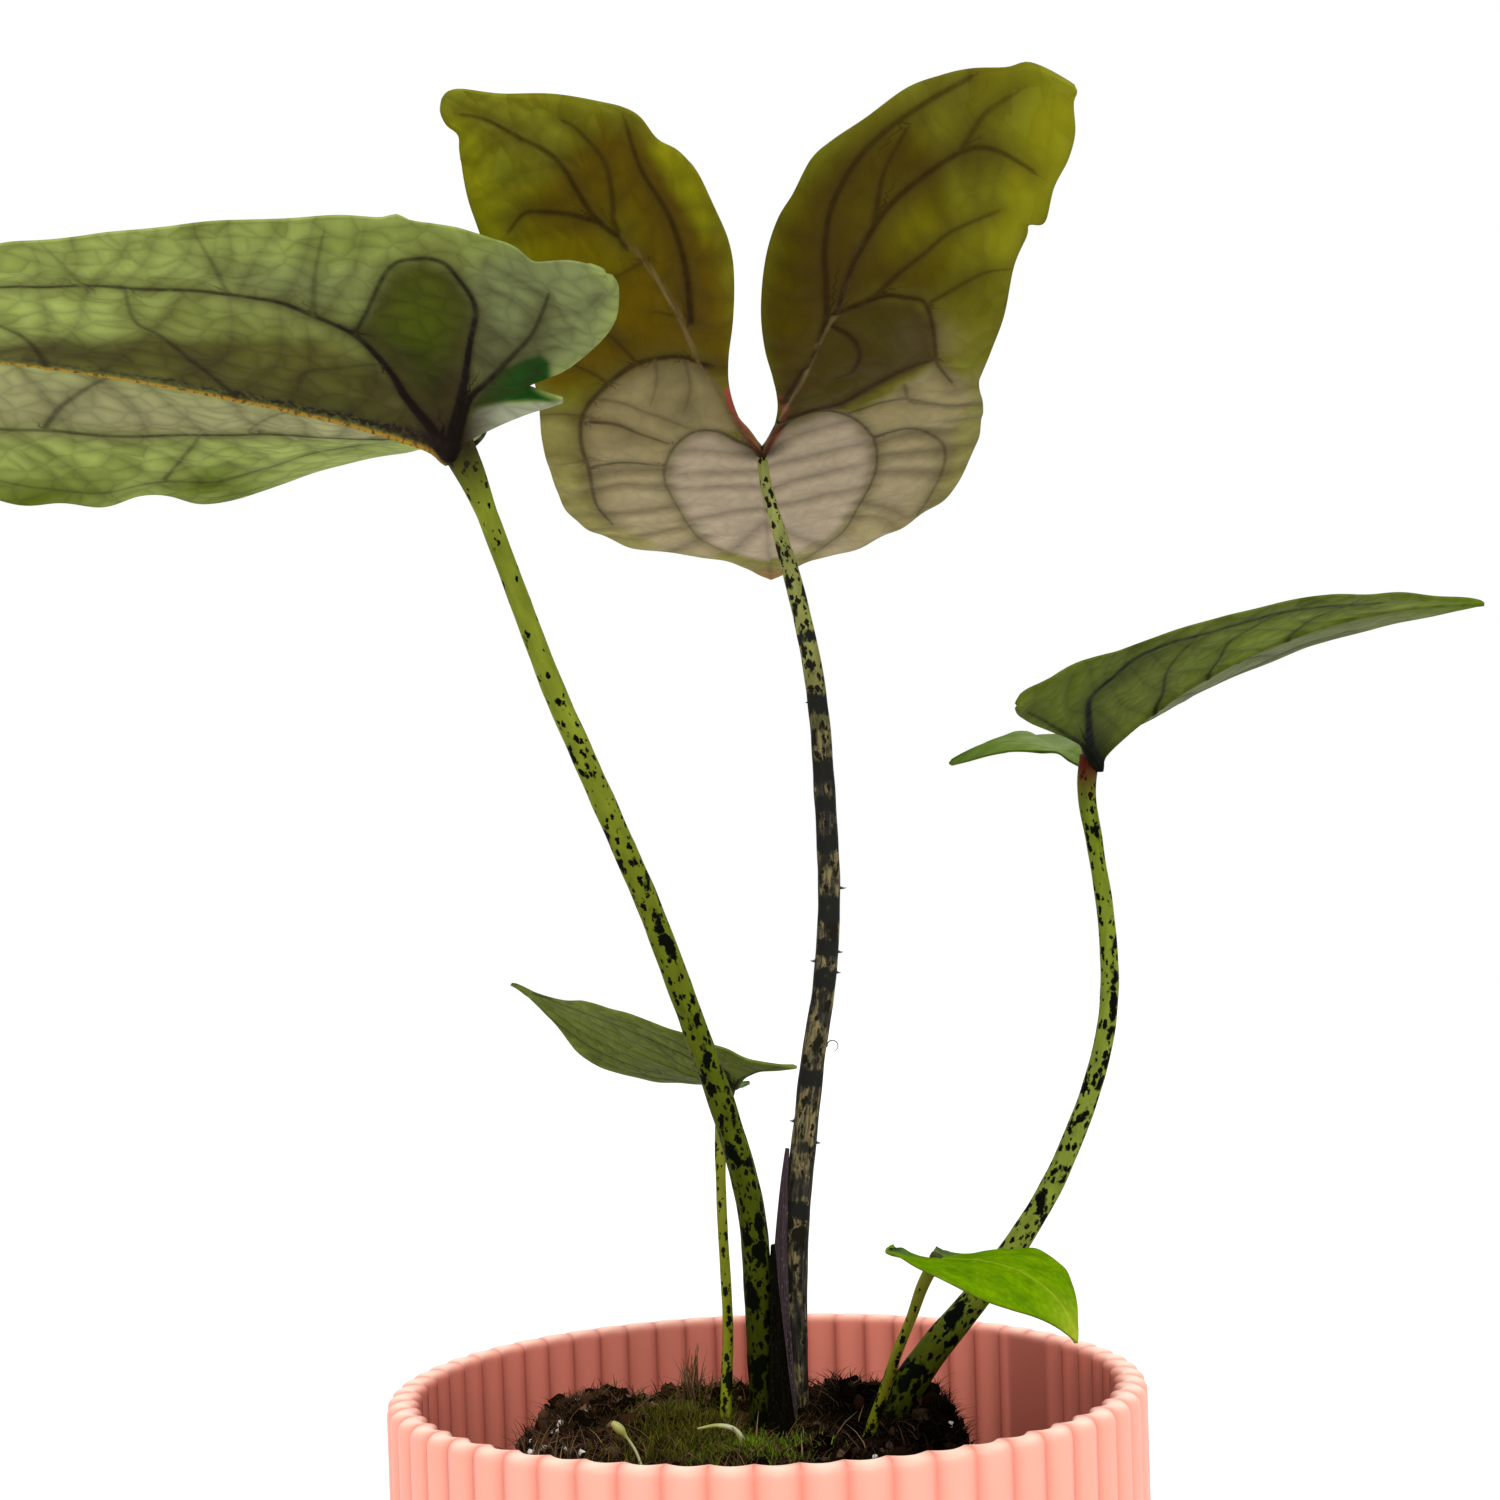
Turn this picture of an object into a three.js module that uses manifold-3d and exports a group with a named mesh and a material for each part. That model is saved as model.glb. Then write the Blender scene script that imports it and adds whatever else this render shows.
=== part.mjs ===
// Potted Cyrtosperma johnstonii: five arrow-shaped leaves on spotted stalks in a fluted pot.
// Millimetres, +Z up, origin at the middle of the pot's base. The front of the plant faces -Y.
import * as THREE from "three";
import { mergeVertices } from "three/addons/utils/BufferGeometryUtils.js";
import Module from "manifold-3d";

const wasm = await Module();
wasm.setup();

// Driving dimensions of the pot
const POT_HEIGHT = 128;
const RIM_RADIUS = 70;
const BASE_RADIUS = 66;
const FLUTES = 60;
const FLUTE_DEPTH = 1.4;
const WALL = 4.6;
const FLOOR = 4;
const EDGE_ROUND = 2;
const PLAIN_PANEL = { from: 26, to: 38 }; // degrees, the one plain panel of the inner wall

// Driving dimensions of the soil: a mound in the middle, low along the wall, with clods on it
const SOIL_EDGE_HEIGHT = 95;
const MOUND = { x: -6, y: 5, height: 117, flat: 38, foot: 55 };
const CLODS = [
  { x: -33, y: 14, radius: 12, height: 6 },
  { x: -20, y: 2, radius: 9, height: 3 },
  { x: 14, y: 16, radius: 11, height: 6 },
  { x: 27, y: 12, radius: 10, height: 5 },
  { x: -6, y: 22, radius: 12, height: 4 },
  { x: 34, y: 4, radius: 8, height: 5 },
];
const CRUMB_HEIGHT = 1.3;

const GAP = 0.3; // between pieces that touch
const BLADE_THICKNESS = 0.8;

// Blades. place is where the stalk meets the blade; heading, pitch and roll turn it, in degrees.
// bend holds the slope of the midrib, linear and squared part, and lobeBend that of the lobes.
// foldRight and foldLeft tilt each half, at the lobes, at the stalk and at the tip.
// outline runs from the tip round one half to the notch, and rib along the middle of the lobe,
// both as distance out from the midrib and distance forward of the stalk.
const BLADES = [
  {
    name: "blade_left",
    place: [-50.5, -48.5, 295.5],
    heading: 189.5,
    pitch: 11.5,
    roll: -3.5,
    bend: [3, -22],
    lobeBend: [1, 17],
    foldRight: [35.5, 23, -52.5],
    foldLeft: [8, 24.5, -11],
    length: 116,
    lobe: 24,
    outline: [
      [0, 116], [16, 98], [33, 78.5], [44, 40.5], [47.5, 8], [47.5, -8], [44.5, -21],
      [40.5, -31.5], [26, -21], [13.5, -11], [6, -6], [2, -3.5], [0, -1.5],
    ],
    outlineLeft: [
      [0, 116], [16, 98], [33, 78.5], [44, 40.5], [47.5, 8], [48, -9.5], [52.5, -18],
      [48.5, -26.5], [31.5, -19.5], [15.5, -10], [6, -6], [2, -3.5], [0, -1.5],
    ],
    rib: [[10.5, -8], [28, -17.5]],
    ridge: 1.1,
    fine: true,
  },
  {
    name: "blade_back",
    place: [5.5, 16, 312.5],
    heading: 87.5,
    pitch: -3.5,
    roll: 1.5,
    bend: [4, 1],
    lobeBend: [42.5, 20.5],
    foldRight: [-22.5, 7, -4.5],
    foldLeft: [19, -0.5, 1],
    length: 107.5,
    lobe: 96.5,
    outline: [
      [0, 107.5], [12.5, 87.5], [32.5, 64], [45.5, 33], [47.5, 0.5], [44, -25], [48.5, -59],
      [58.5, -86.5], [30, -87.5], [8, -70.5], [1.8, -46], [5, -20.5], [0, -1.5],
    ],
    outlineLeft: [
      [0, 107.5], [11.5, 86], [33.5, 64.5], [45, 33.5], [45.5, 1], [44.5, -26], [48.5, -60],
      [55.5, -89.5], [25, -87.5], [6.5, -71.5], [3, -48], [5.5, -24.5], [0, -1.5],
    ],
    rib: [[8.5, -28], [25, -66.5]],
    ridge: 1.1,
    fine: true,
  },
  {
    name: "blade_right",
    place: [70, 11.5, 244.5],
    heading: -4.5,
    pitch: 39,
    roll: 21,
    bend: [-32, -17],
    lobeBend: [62.5, -75.5],
    foldRight: [0.5, 4, -20.5],
    foldLeft: [52.5, 20.5, 14],
    length: 85,
    lobe: 10.5,
    outline: [
      [0, 85], [11, 70], [20.5, 51.5], [26.5, 26.5], [33.5, 6], [36, -1.5], [37.5, -5],
      [37.5, -11.5], [21.5, -6.5], [8.5, -3.5], [3.5, -3], [1.5, -2.2], [0, -1.2],
    ],
    rib: [[9, -2.5], [23, -6]],
    ridge: 0.9,
    fine: true,
  },
  {
    name: "blade_small_left",
    place: [-5, 14, 181.5],
    heading: 179,
    pitch: 15,
    roll: -18,
    bend: [39.5, -20.5],
    lobeBend: [29, -8.5],
    foldRight: [21.5, 18.5, -33.5],
    foldLeft: [-5.5, 5, 1.5],
    length: 48.5,
    lobe: 11,
    outline: [
      [0, 48.5], [4.5, 39.5], [14, 29.5], [18.5, 16], [18, 3], [18, -3], [20.5, -7.5],
      [22, -11.5], [14.5, -8.5], [6.5, -4.5], [2.5, -3.2], [1, -2], [0, -1],
    ],
    rib: [[5, -2.5], [13.5, -7]],
    ridge: 0.6,
    fine: false,
  },
  {
    name: "blade_small_right",
    place: [30.5, -24.5, 151.5],
    heading: -30,
    pitch: 3,
    roll: -3.5,
    bend: [-9.5, -81],
    lobeBend: [55, 26],
    foldRight: [20, 15.5, -18.5],
    foldLeft: [-13.5, -8, -0.5],
    length: 31,
    lobe: 7.5,
    outline: [
      [0, 31], [6.5, 25], [15.5, 18], [22, 9.5], [22, 2], [20.5, -2.5], [19.5, -5],
      [17.5, -6.5], [10.5, -6.5], [5, -5], [2.5, -3.4], [1, -2], [0, -1],
    ],
    rib: [[5, -2], [12, -4.5]],
    ridge: 0.6,
    fine: false,
  },
];

// Stalks, from the root to the blade: points of the route, and the radius at points spaced evenly along it
const STALKS = [
  {
    name: "stalk_left",
    route: [
      [3, 1.5, 88], [1.5, 0, 102], [0, -1, 116.5], [-1, -3, 142], [-2, -5.5, 159], [-6, -8.5, 176],
      [-12, -12.5, 194.5], [-19, -17.5, 215], [-27, -23, 235], [-35.5, -31, 256],
      [-43, -39.5, 276], [-48.5, -46.5, 290], [-50.5, -48.5, 296],
    ],
    radii: [3.3, 3.2, 2.7, 2.5, 2.35, 2.25, 2.15, 2.0, 2.9],
    blade: "blade_left",
  },
  {
    name: "stalk_back",
    route: [
      [7, 9.5, 88], [6, 12, 102], [5.5, 13, 115], [6, 13.5, 141.5], [7.5, 13.5, 158.5],
      [9.5, 14, 172], [11.5, 14, 185.5], [14.5, 14.5, 201.5], [16, 14.5, 217.5], [16, 15, 238],
      [15, 15.5, 261], [12, 15.5, 280], [8.5, 16, 295], [6, 16, 306], [5.5, 16, 313],
    ],
    radii: [2.9, 2.9, 2.8, 2.5, 2.3, 2.25, 2.1, 1.8, 1.9],
    blade: "blade_back",
    thorns: { count: 16, from: 0.3, to: 0.68, length: 1.6, radius: 0.55 },
  },
  {
    name: "stalk_right",
    route: [
      [17, 3, 86], [18.5, 3.5, 100], [22, 4, 115], [25, 4.5, 121.5], [32, 5, 130.5],
      [40.5, 5.5, 139.5], [49.5, 6, 150], [57.5, 7, 161.5], [65, 8, 176.5], [69, 8.5, 188],
      [71, 9.5, 199.5], [71, 10, 213.5], [70, 11, 226], [69, 11.5, 238], [70, 11.5, 245],
    ],
    radii: [4.2, 4.0, 3.1, 2.5, 2.1, 1.9, 1.8, 1.6, 2.0],
    blade: "blade_right",
  },
  {
    name: "stalk_small_left",
    route: [
      [-6.5, 6.5, 88], [-7.5, 6, 102], [-8, 6, 116.5], [-7.5, 7.5, 126], [-7, 8.5, 136],
      [-7.5, 11, 156.5], [-7.5, 12.5, 167], [-7, 13.5, 174.5], [-5, 14, 182],
    ],
    radii: [1.3, 1.2, 1.1, 1.0, 1.0, 1.4],
    blade: "blade_small_left",
  },
  {
    name: "stalk_small_right",
    route: [
      [10, -1, 88], [13.5, -4.5, 102], [18, -6, 117], [21, -10.5, 126], [23.5, -15.5, 134.5],
      [26, -19, 141], [28, -22, 147], [30.5, -24.5, 152],
    ],
    radii: [1.3, 1.2, 1.1, 1.0, 0.9, 1.2],
    blade: "blade_small_right",
  },
];

// Sheaths: each wraps one side of its stalk's foot and narrows to a tip.
// facing is the side it stands on, in degrees from +X, spread half the angle it wraps at its foot,
// and stand how far it stands off the stalk at its foot.
const SHEATHS = [
  { name: "sheath_left", stalk: "stalk_left", from: 0.055, to: 0.29, facing: -15, spread: 95, stand: 2.0 },
  { name: "sheath_back", stalk: "stalk_back", from: 0.055, to: 0.355, facing: 195, spread: 95, stand: 0.9 },
  { name: "sheath_right", stalk: "stalk_right", from: 0.07, to: 0.24, facing: 185, spread: 90, stand: 1.4 },
];
const SHEATH_THICKNESS = 0.9;
const HOLE_TOP = 128; // the stalks' holes in the soil are cut up to this height

// The rootstock that the stalks grow from, and two shoots that come up beside them
const ROOTSTOCK = {
  route: [[-11, 5, 84], [-4, 5, 86], [4, 5, 87], [12, 3, 86], [20, 2, 85], [26, 2, 83]],
  radii: [2.5, 5.2, 6.4, 5.6, 5.4, 2.2],
  level: true,
};
const SEEDLINGS = [
  {
    name: "seedling_bud",
    route: [[-20, -25, 106], [-21.5, -25, 114], [-23.5, -25, 121], [-26, -25, 124.5], [-27.5, -25, 126]],
    radii: [0.6, 0.6, 0.6, 0.7, 1.6, 1.3, 0.5],
  },
  {
    name: "seedling_shoot",
    route: [[-1, -12, 107], [-3.5, -12, 116], [-6, -12.5, 121], [-9, -12.5, 122], [-13, -12, 121.5]],
    radii: [0.7, 0.7, 0.8, 0.9, 0.8, 0.45],
  },
];

const COLOURS = {
  pot: 0xf2a08c,
  soil: 0x3a2b1c,
  rootstock: 0x6b4e34,
  blade: 0x53652f,
  youngBlade: 0x4f9a2a,
  stalk: 0x7a9238,
  darkStalk: 0x4d4a2c,
  sheath: 0x4a3b40,
  seedling: 0xb9c96a,
};

const radians = THREE.MathUtils.degToRad;
const lerp = THREE.MathUtils.lerp;
const vector = (point) => new THREE.Vector3(...point);
const planeCurve = (points) => new THREE.SplineCurve(points.map((point) => new THREE.Vector2(...point)));

// Repeatable random numbers from 0 to 1
function randomFrom(seed) {
  let state = seed;
  return () => {
    state = (state * 16807) % 2147483647;
    return state / 2147483647;
  };
}

// A value between knots spaced evenly from 0 to 1
function valueAlong(values, t) {
  const place = THREE.MathUtils.clamp(t, 0, 1) * (values.length - 1);
  const index = Math.min(Math.floor(place), values.length - 2);
  return lerp(values[index], values[index + 1], place - index);
}

function geometryOf(points, triangles) {
  const geometry = new THREE.BufferGeometry();
  geometry.setAttribute("position", new THREE.Float32BufferAttribute(points.flatMap((p) => p.toArray()), 3));
  geometry.setIndex(triangles.flat());
  return geometry;
}

function solidOf(geometry) {
  const merged = mergeVertices(geometry, 1e-4);
  return new wasm.Manifold(
    new wasm.Mesh({
      numProp: 3,
      vertProperties: merged.getAttribute("position").array,
      triVerts: new Uint32Array(merged.index.array),
    }),
  );
}

// The geometry of a solid, without the loose scraps that a cut can leave
function geometryFrom(solid) {
  const largest = solid.decompose().sort((a, b) => b.volume() - a.volume())[0];
  const mesh = largest.getMesh();
  const geometry = new THREE.BufferGeometry();
  geometry.setAttribute("position", new THREE.Float32BufferAttribute(mesh.vertProperties, 3));
  geometry.setIndex(new THREE.BufferAttribute(mesh.triVerts, 1));
  return geometry;
}

function cut(geometry, cutters) {
  return geometryFrom(cutters.reduce((solid, cutter) => solid.subtract(solidOf(cutter)), solidOf(geometry)));
}

// A solid through closed rings of equal count, ended by a point at the middle of the first and last ring
function loft(rings, firstCentre, lastCentre) {
  const count = rings[0].length;
  const points = rings.flat();
  const first = points.push(firstCentre) - 1;
  const last = points.push(lastCentre) - 1;
  const lastRing = (rings.length - 1) * count;
  const triangles = [];
  for (let i = 0; i < count; i++) {
    const next = (i + 1) % count;
    triangles.push([first, next, i]);
    triangles.push([last, lastRing + i, lastRing + next]);
    for (let ring = 0; ring < lastRing; ring += count) {
      triangles.push([ring + i, ring + next, ring + count + next]);
      triangles.push([ring + i, ring + count + next, ring + count + i]);
    }
  }
  return geometryOf(points, triangles);
}

// A closed sheet: both faces share one pattern of triangles, and a wall joins their edges
function closedSheet(upper, lower, triangles) {
  const shift = upper.length;
  const directed = new Set(triangles.flatMap(([a, b, c]) => [`${a},${b}`, `${b},${c}`, `${c},${a}`]));
  const faces = [];
  for (const [a, b, c] of triangles) {
    faces.push([a, b, c]);
    faces.push([shift + c, shift + b, shift + a]);
    for (const [from, to] of [[a, b], [b, c], [c, a]]) {
      if (directed.has(`${to},${from}`)) continue;
      faces.push([to, from, shift + from]);
      faces.push([to, shift + from, shift + to]);
    }
  }
  return geometryOf([...upper, ...lower], faces);
}

// Pot: fluted alike outside and inside, so the wall folds rather than thickens
const wallRadius = (height) => lerp(BASE_RADIUS, RIM_RADIUS, height / POT_HEIGHT);
const fluteAt = (angle) => FLUTE_DEPTH * (0.5 - 0.5 * Math.cos(FLUTES * angle));
const outerRadius = (height, angle) => wallRadius(height) - fluteAt(angle);

function innerRadius(height, angle) {
  const turn = THREE.MathUtils.radToDeg(angle);
  const plain = turn > PLAIN_PANEL.from && turn < PLAIN_PANEL.to;
  return wallRadius(height) - WALL - (plain ? FLUTE_DEPTH / 2 : fluteAt(angle));
}

function potGeometry() {
  const steps = FLUTES * 4;
  const rimStart = POT_HEIGHT - EDGE_ROUND;
  const shoulder = POT_HEIGHT - EDGE_ROUND * 0.3;
  const shoulderIn = EDGE_ROUND * 0.4;
  const stations = [
    (angle) => [outerRadius(0, angle) - EDGE_ROUND, 0],
    (angle) => [outerRadius(EDGE_ROUND, angle), EDGE_ROUND],
    (angle) => [outerRadius(rimStart, angle), rimStart],
    (angle) => [outerRadius(shoulder, angle) - shoulderIn, shoulder],
    (angle) => [(outerRadius(POT_HEIGHT, angle) + innerRadius(POT_HEIGHT, angle)) / 2, POT_HEIGHT],
    (angle) => [innerRadius(shoulder, angle) + shoulderIn, shoulder],
    (angle) => [innerRadius(rimStart, angle), rimStart],
    (angle) => [innerRadius(FLOOR, angle), FLOOR],
  ];
  const rings = stations.map((station) =>
    Array.from({ length: steps }, (_, i) => {
      const angle = (2 * Math.PI * i) / steps;
      const [radius, height] = station(angle);
      return new THREE.Vector3(radius * Math.cos(angle), radius * Math.sin(angle), height);
    }),
  );
  return loft(rings, new THREE.Vector3(0, 0, 0), new THREE.Vector3(0, 0, FLOOR));
}

// Soil: the height of its top at a place, from the mound, the clods and a crumb pattern
function soilHeight(x, y) {
  const fromMound = Math.hypot(x - MOUND.x, y - MOUND.y);
  const rise = 1 - THREE.MathUtils.smoothstep(fromMound, MOUND.flat, MOUND.foot);
  let height = lerp(SOIL_EDGE_HEIGHT, MOUND.height, rise);
  for (const clod of CLODS) {
    const near = 1 - Math.min(1, Math.hypot(x - clod.x, y - clod.y) / clod.radius);
    height += clod.height * near * (2 - near) * 0.8;
  }
  const crumb = Math.sin(0.71 * x + 1.3 * Math.sin(0.53 * y)) + Math.sin(0.83 * y + 1.7 * Math.sin(0.47 * x));
  return height + 0.5 * CRUMB_HEIGHT * crumb;
}

function soilGeometry() {
  const steps = 44;
  const fit = WALL + FLUTE_DEPTH + GAP + 0.1;
  const rimRadius = wallRadius(SOIL_EDGE_HEIGHT) - fit;
  const bottom = FLOOR + GAP;
  const ring = (radius, heightAt) =>
    Array.from({ length: steps }, (_, i) => {
      const angle = (2 * Math.PI * i) / steps;
      const x = radius * Math.cos(angle);
      const y = radius * Math.sin(angle);
      return new THREE.Vector3(x, y, heightAt(x, y));
    });
  const topRadii = [1, 0.93, 0.87, 0.8, 0.73, 0.66, 0.58, 0.5, 0.42, 0.34, 0.25, 0.15, 0.06];
  const rings = [ring(wallRadius(bottom) - fit, () => bottom)];
  topRadii.forEach((share) => rings.push(ring(rimRadius * share, soilHeight)));
  return loft(rings, new THREE.Vector3(0, 0, bottom), new THREE.Vector3(0, 0, soilHeight(0, 0)));
}

// A round stem along a route. The rings of an upright stem start at its +X side, so that sheaths and thorns
// find their place, and those of a level one at its top.
function stemFrame(curve, t, level = false) {
  const centre = curve.getPointAt(t);
  const tangent = curve.getTangentAt(t);
  const start = level ? new THREE.Vector3(0, 0, 1) : new THREE.Vector3(1, 0, 0);
  const right = start.addScaledVector(tangent, -start.dot(tangent)).normalize();
  const back = new THREE.Vector3().crossVectors(tangent, right);
  const at = (angle, radius) =>
    centre
      .clone()
      .addScaledVector(right, radius * Math.cos(angle))
      .addScaledVector(back, radius * Math.sin(angle));
  return { centre, tangent, at };
}

const curveOf = (stem) => new THREE.CatmullRomCurve3(stem.route.map(vector), false, "centripetal");

function stemGeometry(stem, { sides = 10, steps = 22, grow = 0 } = {}) {
  const curve = curveOf(stem);
  const rings = [];
  for (let i = 0; i <= steps; i++) {
    const t = i / steps;
    const frame = stemFrame(curve, t, stem.level);
    const radius = valueAlong(stem.radii, t) + grow;
    rings.push(Array.from({ length: sides }, (_, j) => frame.at((2 * Math.PI * j) / sides, radius)));
  }
  const start = stemFrame(curve, 0);
  const end = stemFrame(curve, 1);
  return loft(
    rings,
    start.centre.clone().addScaledVector(start.tangent, -grow),
    end.centre.clone().addScaledVector(end.tangent, grow),
  );
}

// Small hooked thorns on a stalk, with their roots sunk in it
function addThorns(geometry, stem) {
  const { count, from, to, length, radius } = stem.thorns;
  const random = randomFrom(11);
  const curve = curveOf(stem);
  let solid = solidOf(geometry);
  for (let i = 0; i < count; i++) {
    const t = lerp(from, to, (i + 0.6 * random()) / count);
    const frame = stemFrame(curve, t);
    const stemRadius = valueAlong(stem.radii, t);
    const facing = 2.4 * i + random();
    const outward = frame.at(facing, 1).sub(frame.centre);
    const thorn = new THREE.ConeGeometry(radius, length + 0.8, 5);
    thorn.deleteAttribute("normal");
    thorn.deleteAttribute("uv");
    thorn.applyQuaternion(new THREE.Quaternion().setFromUnitVectors(new THREE.Vector3(0, 1, 0), outward));
    const middle = frame.at(facing, stemRadius + length / 2 - 0.6);
    thorn.translate(middle.x, middle.y, middle.z);
    solid = solid.add(solidOf(thorn));
  }
  return geometryFrom(solid);
}

function sheathGeometry(sheath, stem) {
  const rows = 9;
  const columns = 10;
  const curve = curveOf(stem);
  const inner = [];
  const outer = [];
  for (let i = 0; i <= rows; i++) {
    const share = i / rows;
    const t = lerp(sheath.from, sheath.to, share);
    const frame = stemFrame(curve, t);
    const clear = valueAlong(stem.radii, t) + GAP + 0.1 + sheath.stand * (1 - share) ** 1.5;
    const spread = radians(sheath.spread) * Math.sqrt(1 - 0.985 * share);
    for (let j = 0; j <= columns; j++) {
      const angle = radians(sheath.facing) + spread * ((2 * j) / columns - 1);
      inner.push(frame.at(angle, clear));
      outer.push(frame.at(angle, clear + SHEATH_THICKNESS));
    }
  }
  const triangles = [];
  for (let i = 0; i < rows; i++) {
    for (let j = 0; j < columns; j++) {
      const a = i * (columns + 1) + j;
      const above = a + columns + 1;
      triangles.push([a, a + 1, above + 1]);
      triangles.push([a, above + 1, above]);
    }
  }
  return closedSheet(outer, inner, triangles);
}

// A plain hole in the soil round a stem, widened and moved to the side where a sheath stands
function holeGeometry(stem, sheath) {
  const curve = curveOf(stem);
  const extra = sheath ? sheath.stand + SHEATH_THICKNESS : 0;
  const facing = sheath ? radians(sheath.facing) : 0;
  const sides = 12;
  const steps = 12;
  const rings = [];
  let frame = stemFrame(curve, 0);
  for (let i = 0; i <= steps && frame.centre.z < HOLE_TOP; i++) {
    const t = (i / steps) * 0.5;
    frame = stemFrame(curve, t);
    const move = frame.at(facing, 0.4 * extra).sub(frame.centre);
    const reach = Math.hypot(valueAlong(stem.radii, t) + extra, 0.4 * extra) + 1.5 * GAP;
    const radius = reach / Math.cos(Math.PI / sides);
    rings.push(Array.from({ length: sides }, (_, k) => frame.at((2 * Math.PI * k) / sides, radius).add(move)));
  }
  const centreOf = (ring) =>
    ring.reduce((sum, point) => sum.add(point), new THREE.Vector3()).divideScalar(ring.length);
  return loft(rings, centreOf(rings[0]), centreOf(rings[rings.length - 1]));
}

// The midrib's place and slope at a distance along it, ahead of the stalk or back along the lobes
function midribAt(blade, along) {
  const ahead = along >= 0;
  const [linear, squared] = ahead ? blade.bend : blade.lobeBend;
  const reach = Math.abs(along);
  const full = ahead ? blade.length : blade.lobe;
  const slopeAt = (distance) => radians(linear * (distance / full) + squared * (distance / full) ** 2);
  const steps = 24;
  let run = 0;
  let rise = 0;
  for (let i = 0; i < steps; i++) {
    const slope = slopeAt((reach * (i + 0.5)) / steps);
    run += (Math.cos(slope) * reach) / steps;
    rise += (Math.sin(slope) * reach) / steps;
  }
  return ahead ? { run, rise, slope: slopeAt(reach) } : { run: -run, rise, slope: -slopeAt(reach) };
}

// A point of the blade's middle surface: out from the midrib on one half, and along the midrib
function bladePoint(blade, out, along, half) {
  const { run, rise, slope } = midribAt(blade, along);
  const folds = half === "right" ? blade.foldRight : blade.foldLeft;
  const back = Math.min(1, Math.max(0, -along) / blade.lobe);
  const front = Math.min(1, Math.max(0, along) / blade.length);
  const fold = radians(along < 0 ? lerp(folds[1], folds[0], back) : lerp(folds[1], folds[2], front));
  const lift = out * Math.sin(fold);
  const sideways = (half === "right" ? 1 : -1) * out * Math.cos(fold);
  const heading = radians(blade.heading);
  const pitch = radians(blade.pitch);
  const roll = radians(blade.roll);
  const forward = new THREE.Vector3(
    Math.cos(heading) * Math.cos(pitch),
    Math.sin(heading) * Math.cos(pitch),
    Math.sin(pitch),
  );
  const level = new THREE.Vector3(Math.sin(heading), -Math.cos(heading), 0);
  const above = new THREE.Vector3().crossVectors(level, forward);
  const right = level.clone().multiplyScalar(Math.cos(roll)).addScaledVector(above, Math.sin(roll));
  const up = above.clone().multiplyScalar(Math.cos(roll)).addScaledVector(level, -Math.sin(roll));
  return vector(blade.place)
    .addScaledVector(right, sideways)
    .addScaledVector(forward, run - lift * Math.sin(slope))
    .addScaledVector(up, rise + lift * Math.cos(slope));
}

function halfNormal(blade, out, along, half) {
  const step = 0.5;
  const sideways = bladePoint(blade, out + step, along, half).sub(bladePoint(blade, out, along, half));
  const ahead = bladePoint(blade, out, along + step, half).sub(bladePoint(blade, out, along - step, half));
  const normal = new THREE.Vector3().crossVectors(sideways, ahead).normalize();
  return half === "right" ? normal : normal.negate();
}

// Over the midrib the two halves share one normal, so that they meet in one edge
function bladeNormal(blade, out, along, half) {
  if (out > 0) return halfNormal(blade, out, along, half);
  return halfNormal(blade, 0, along, "right").add(halfNormal(blade, 0, along, "left")).normalize();
}

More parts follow.
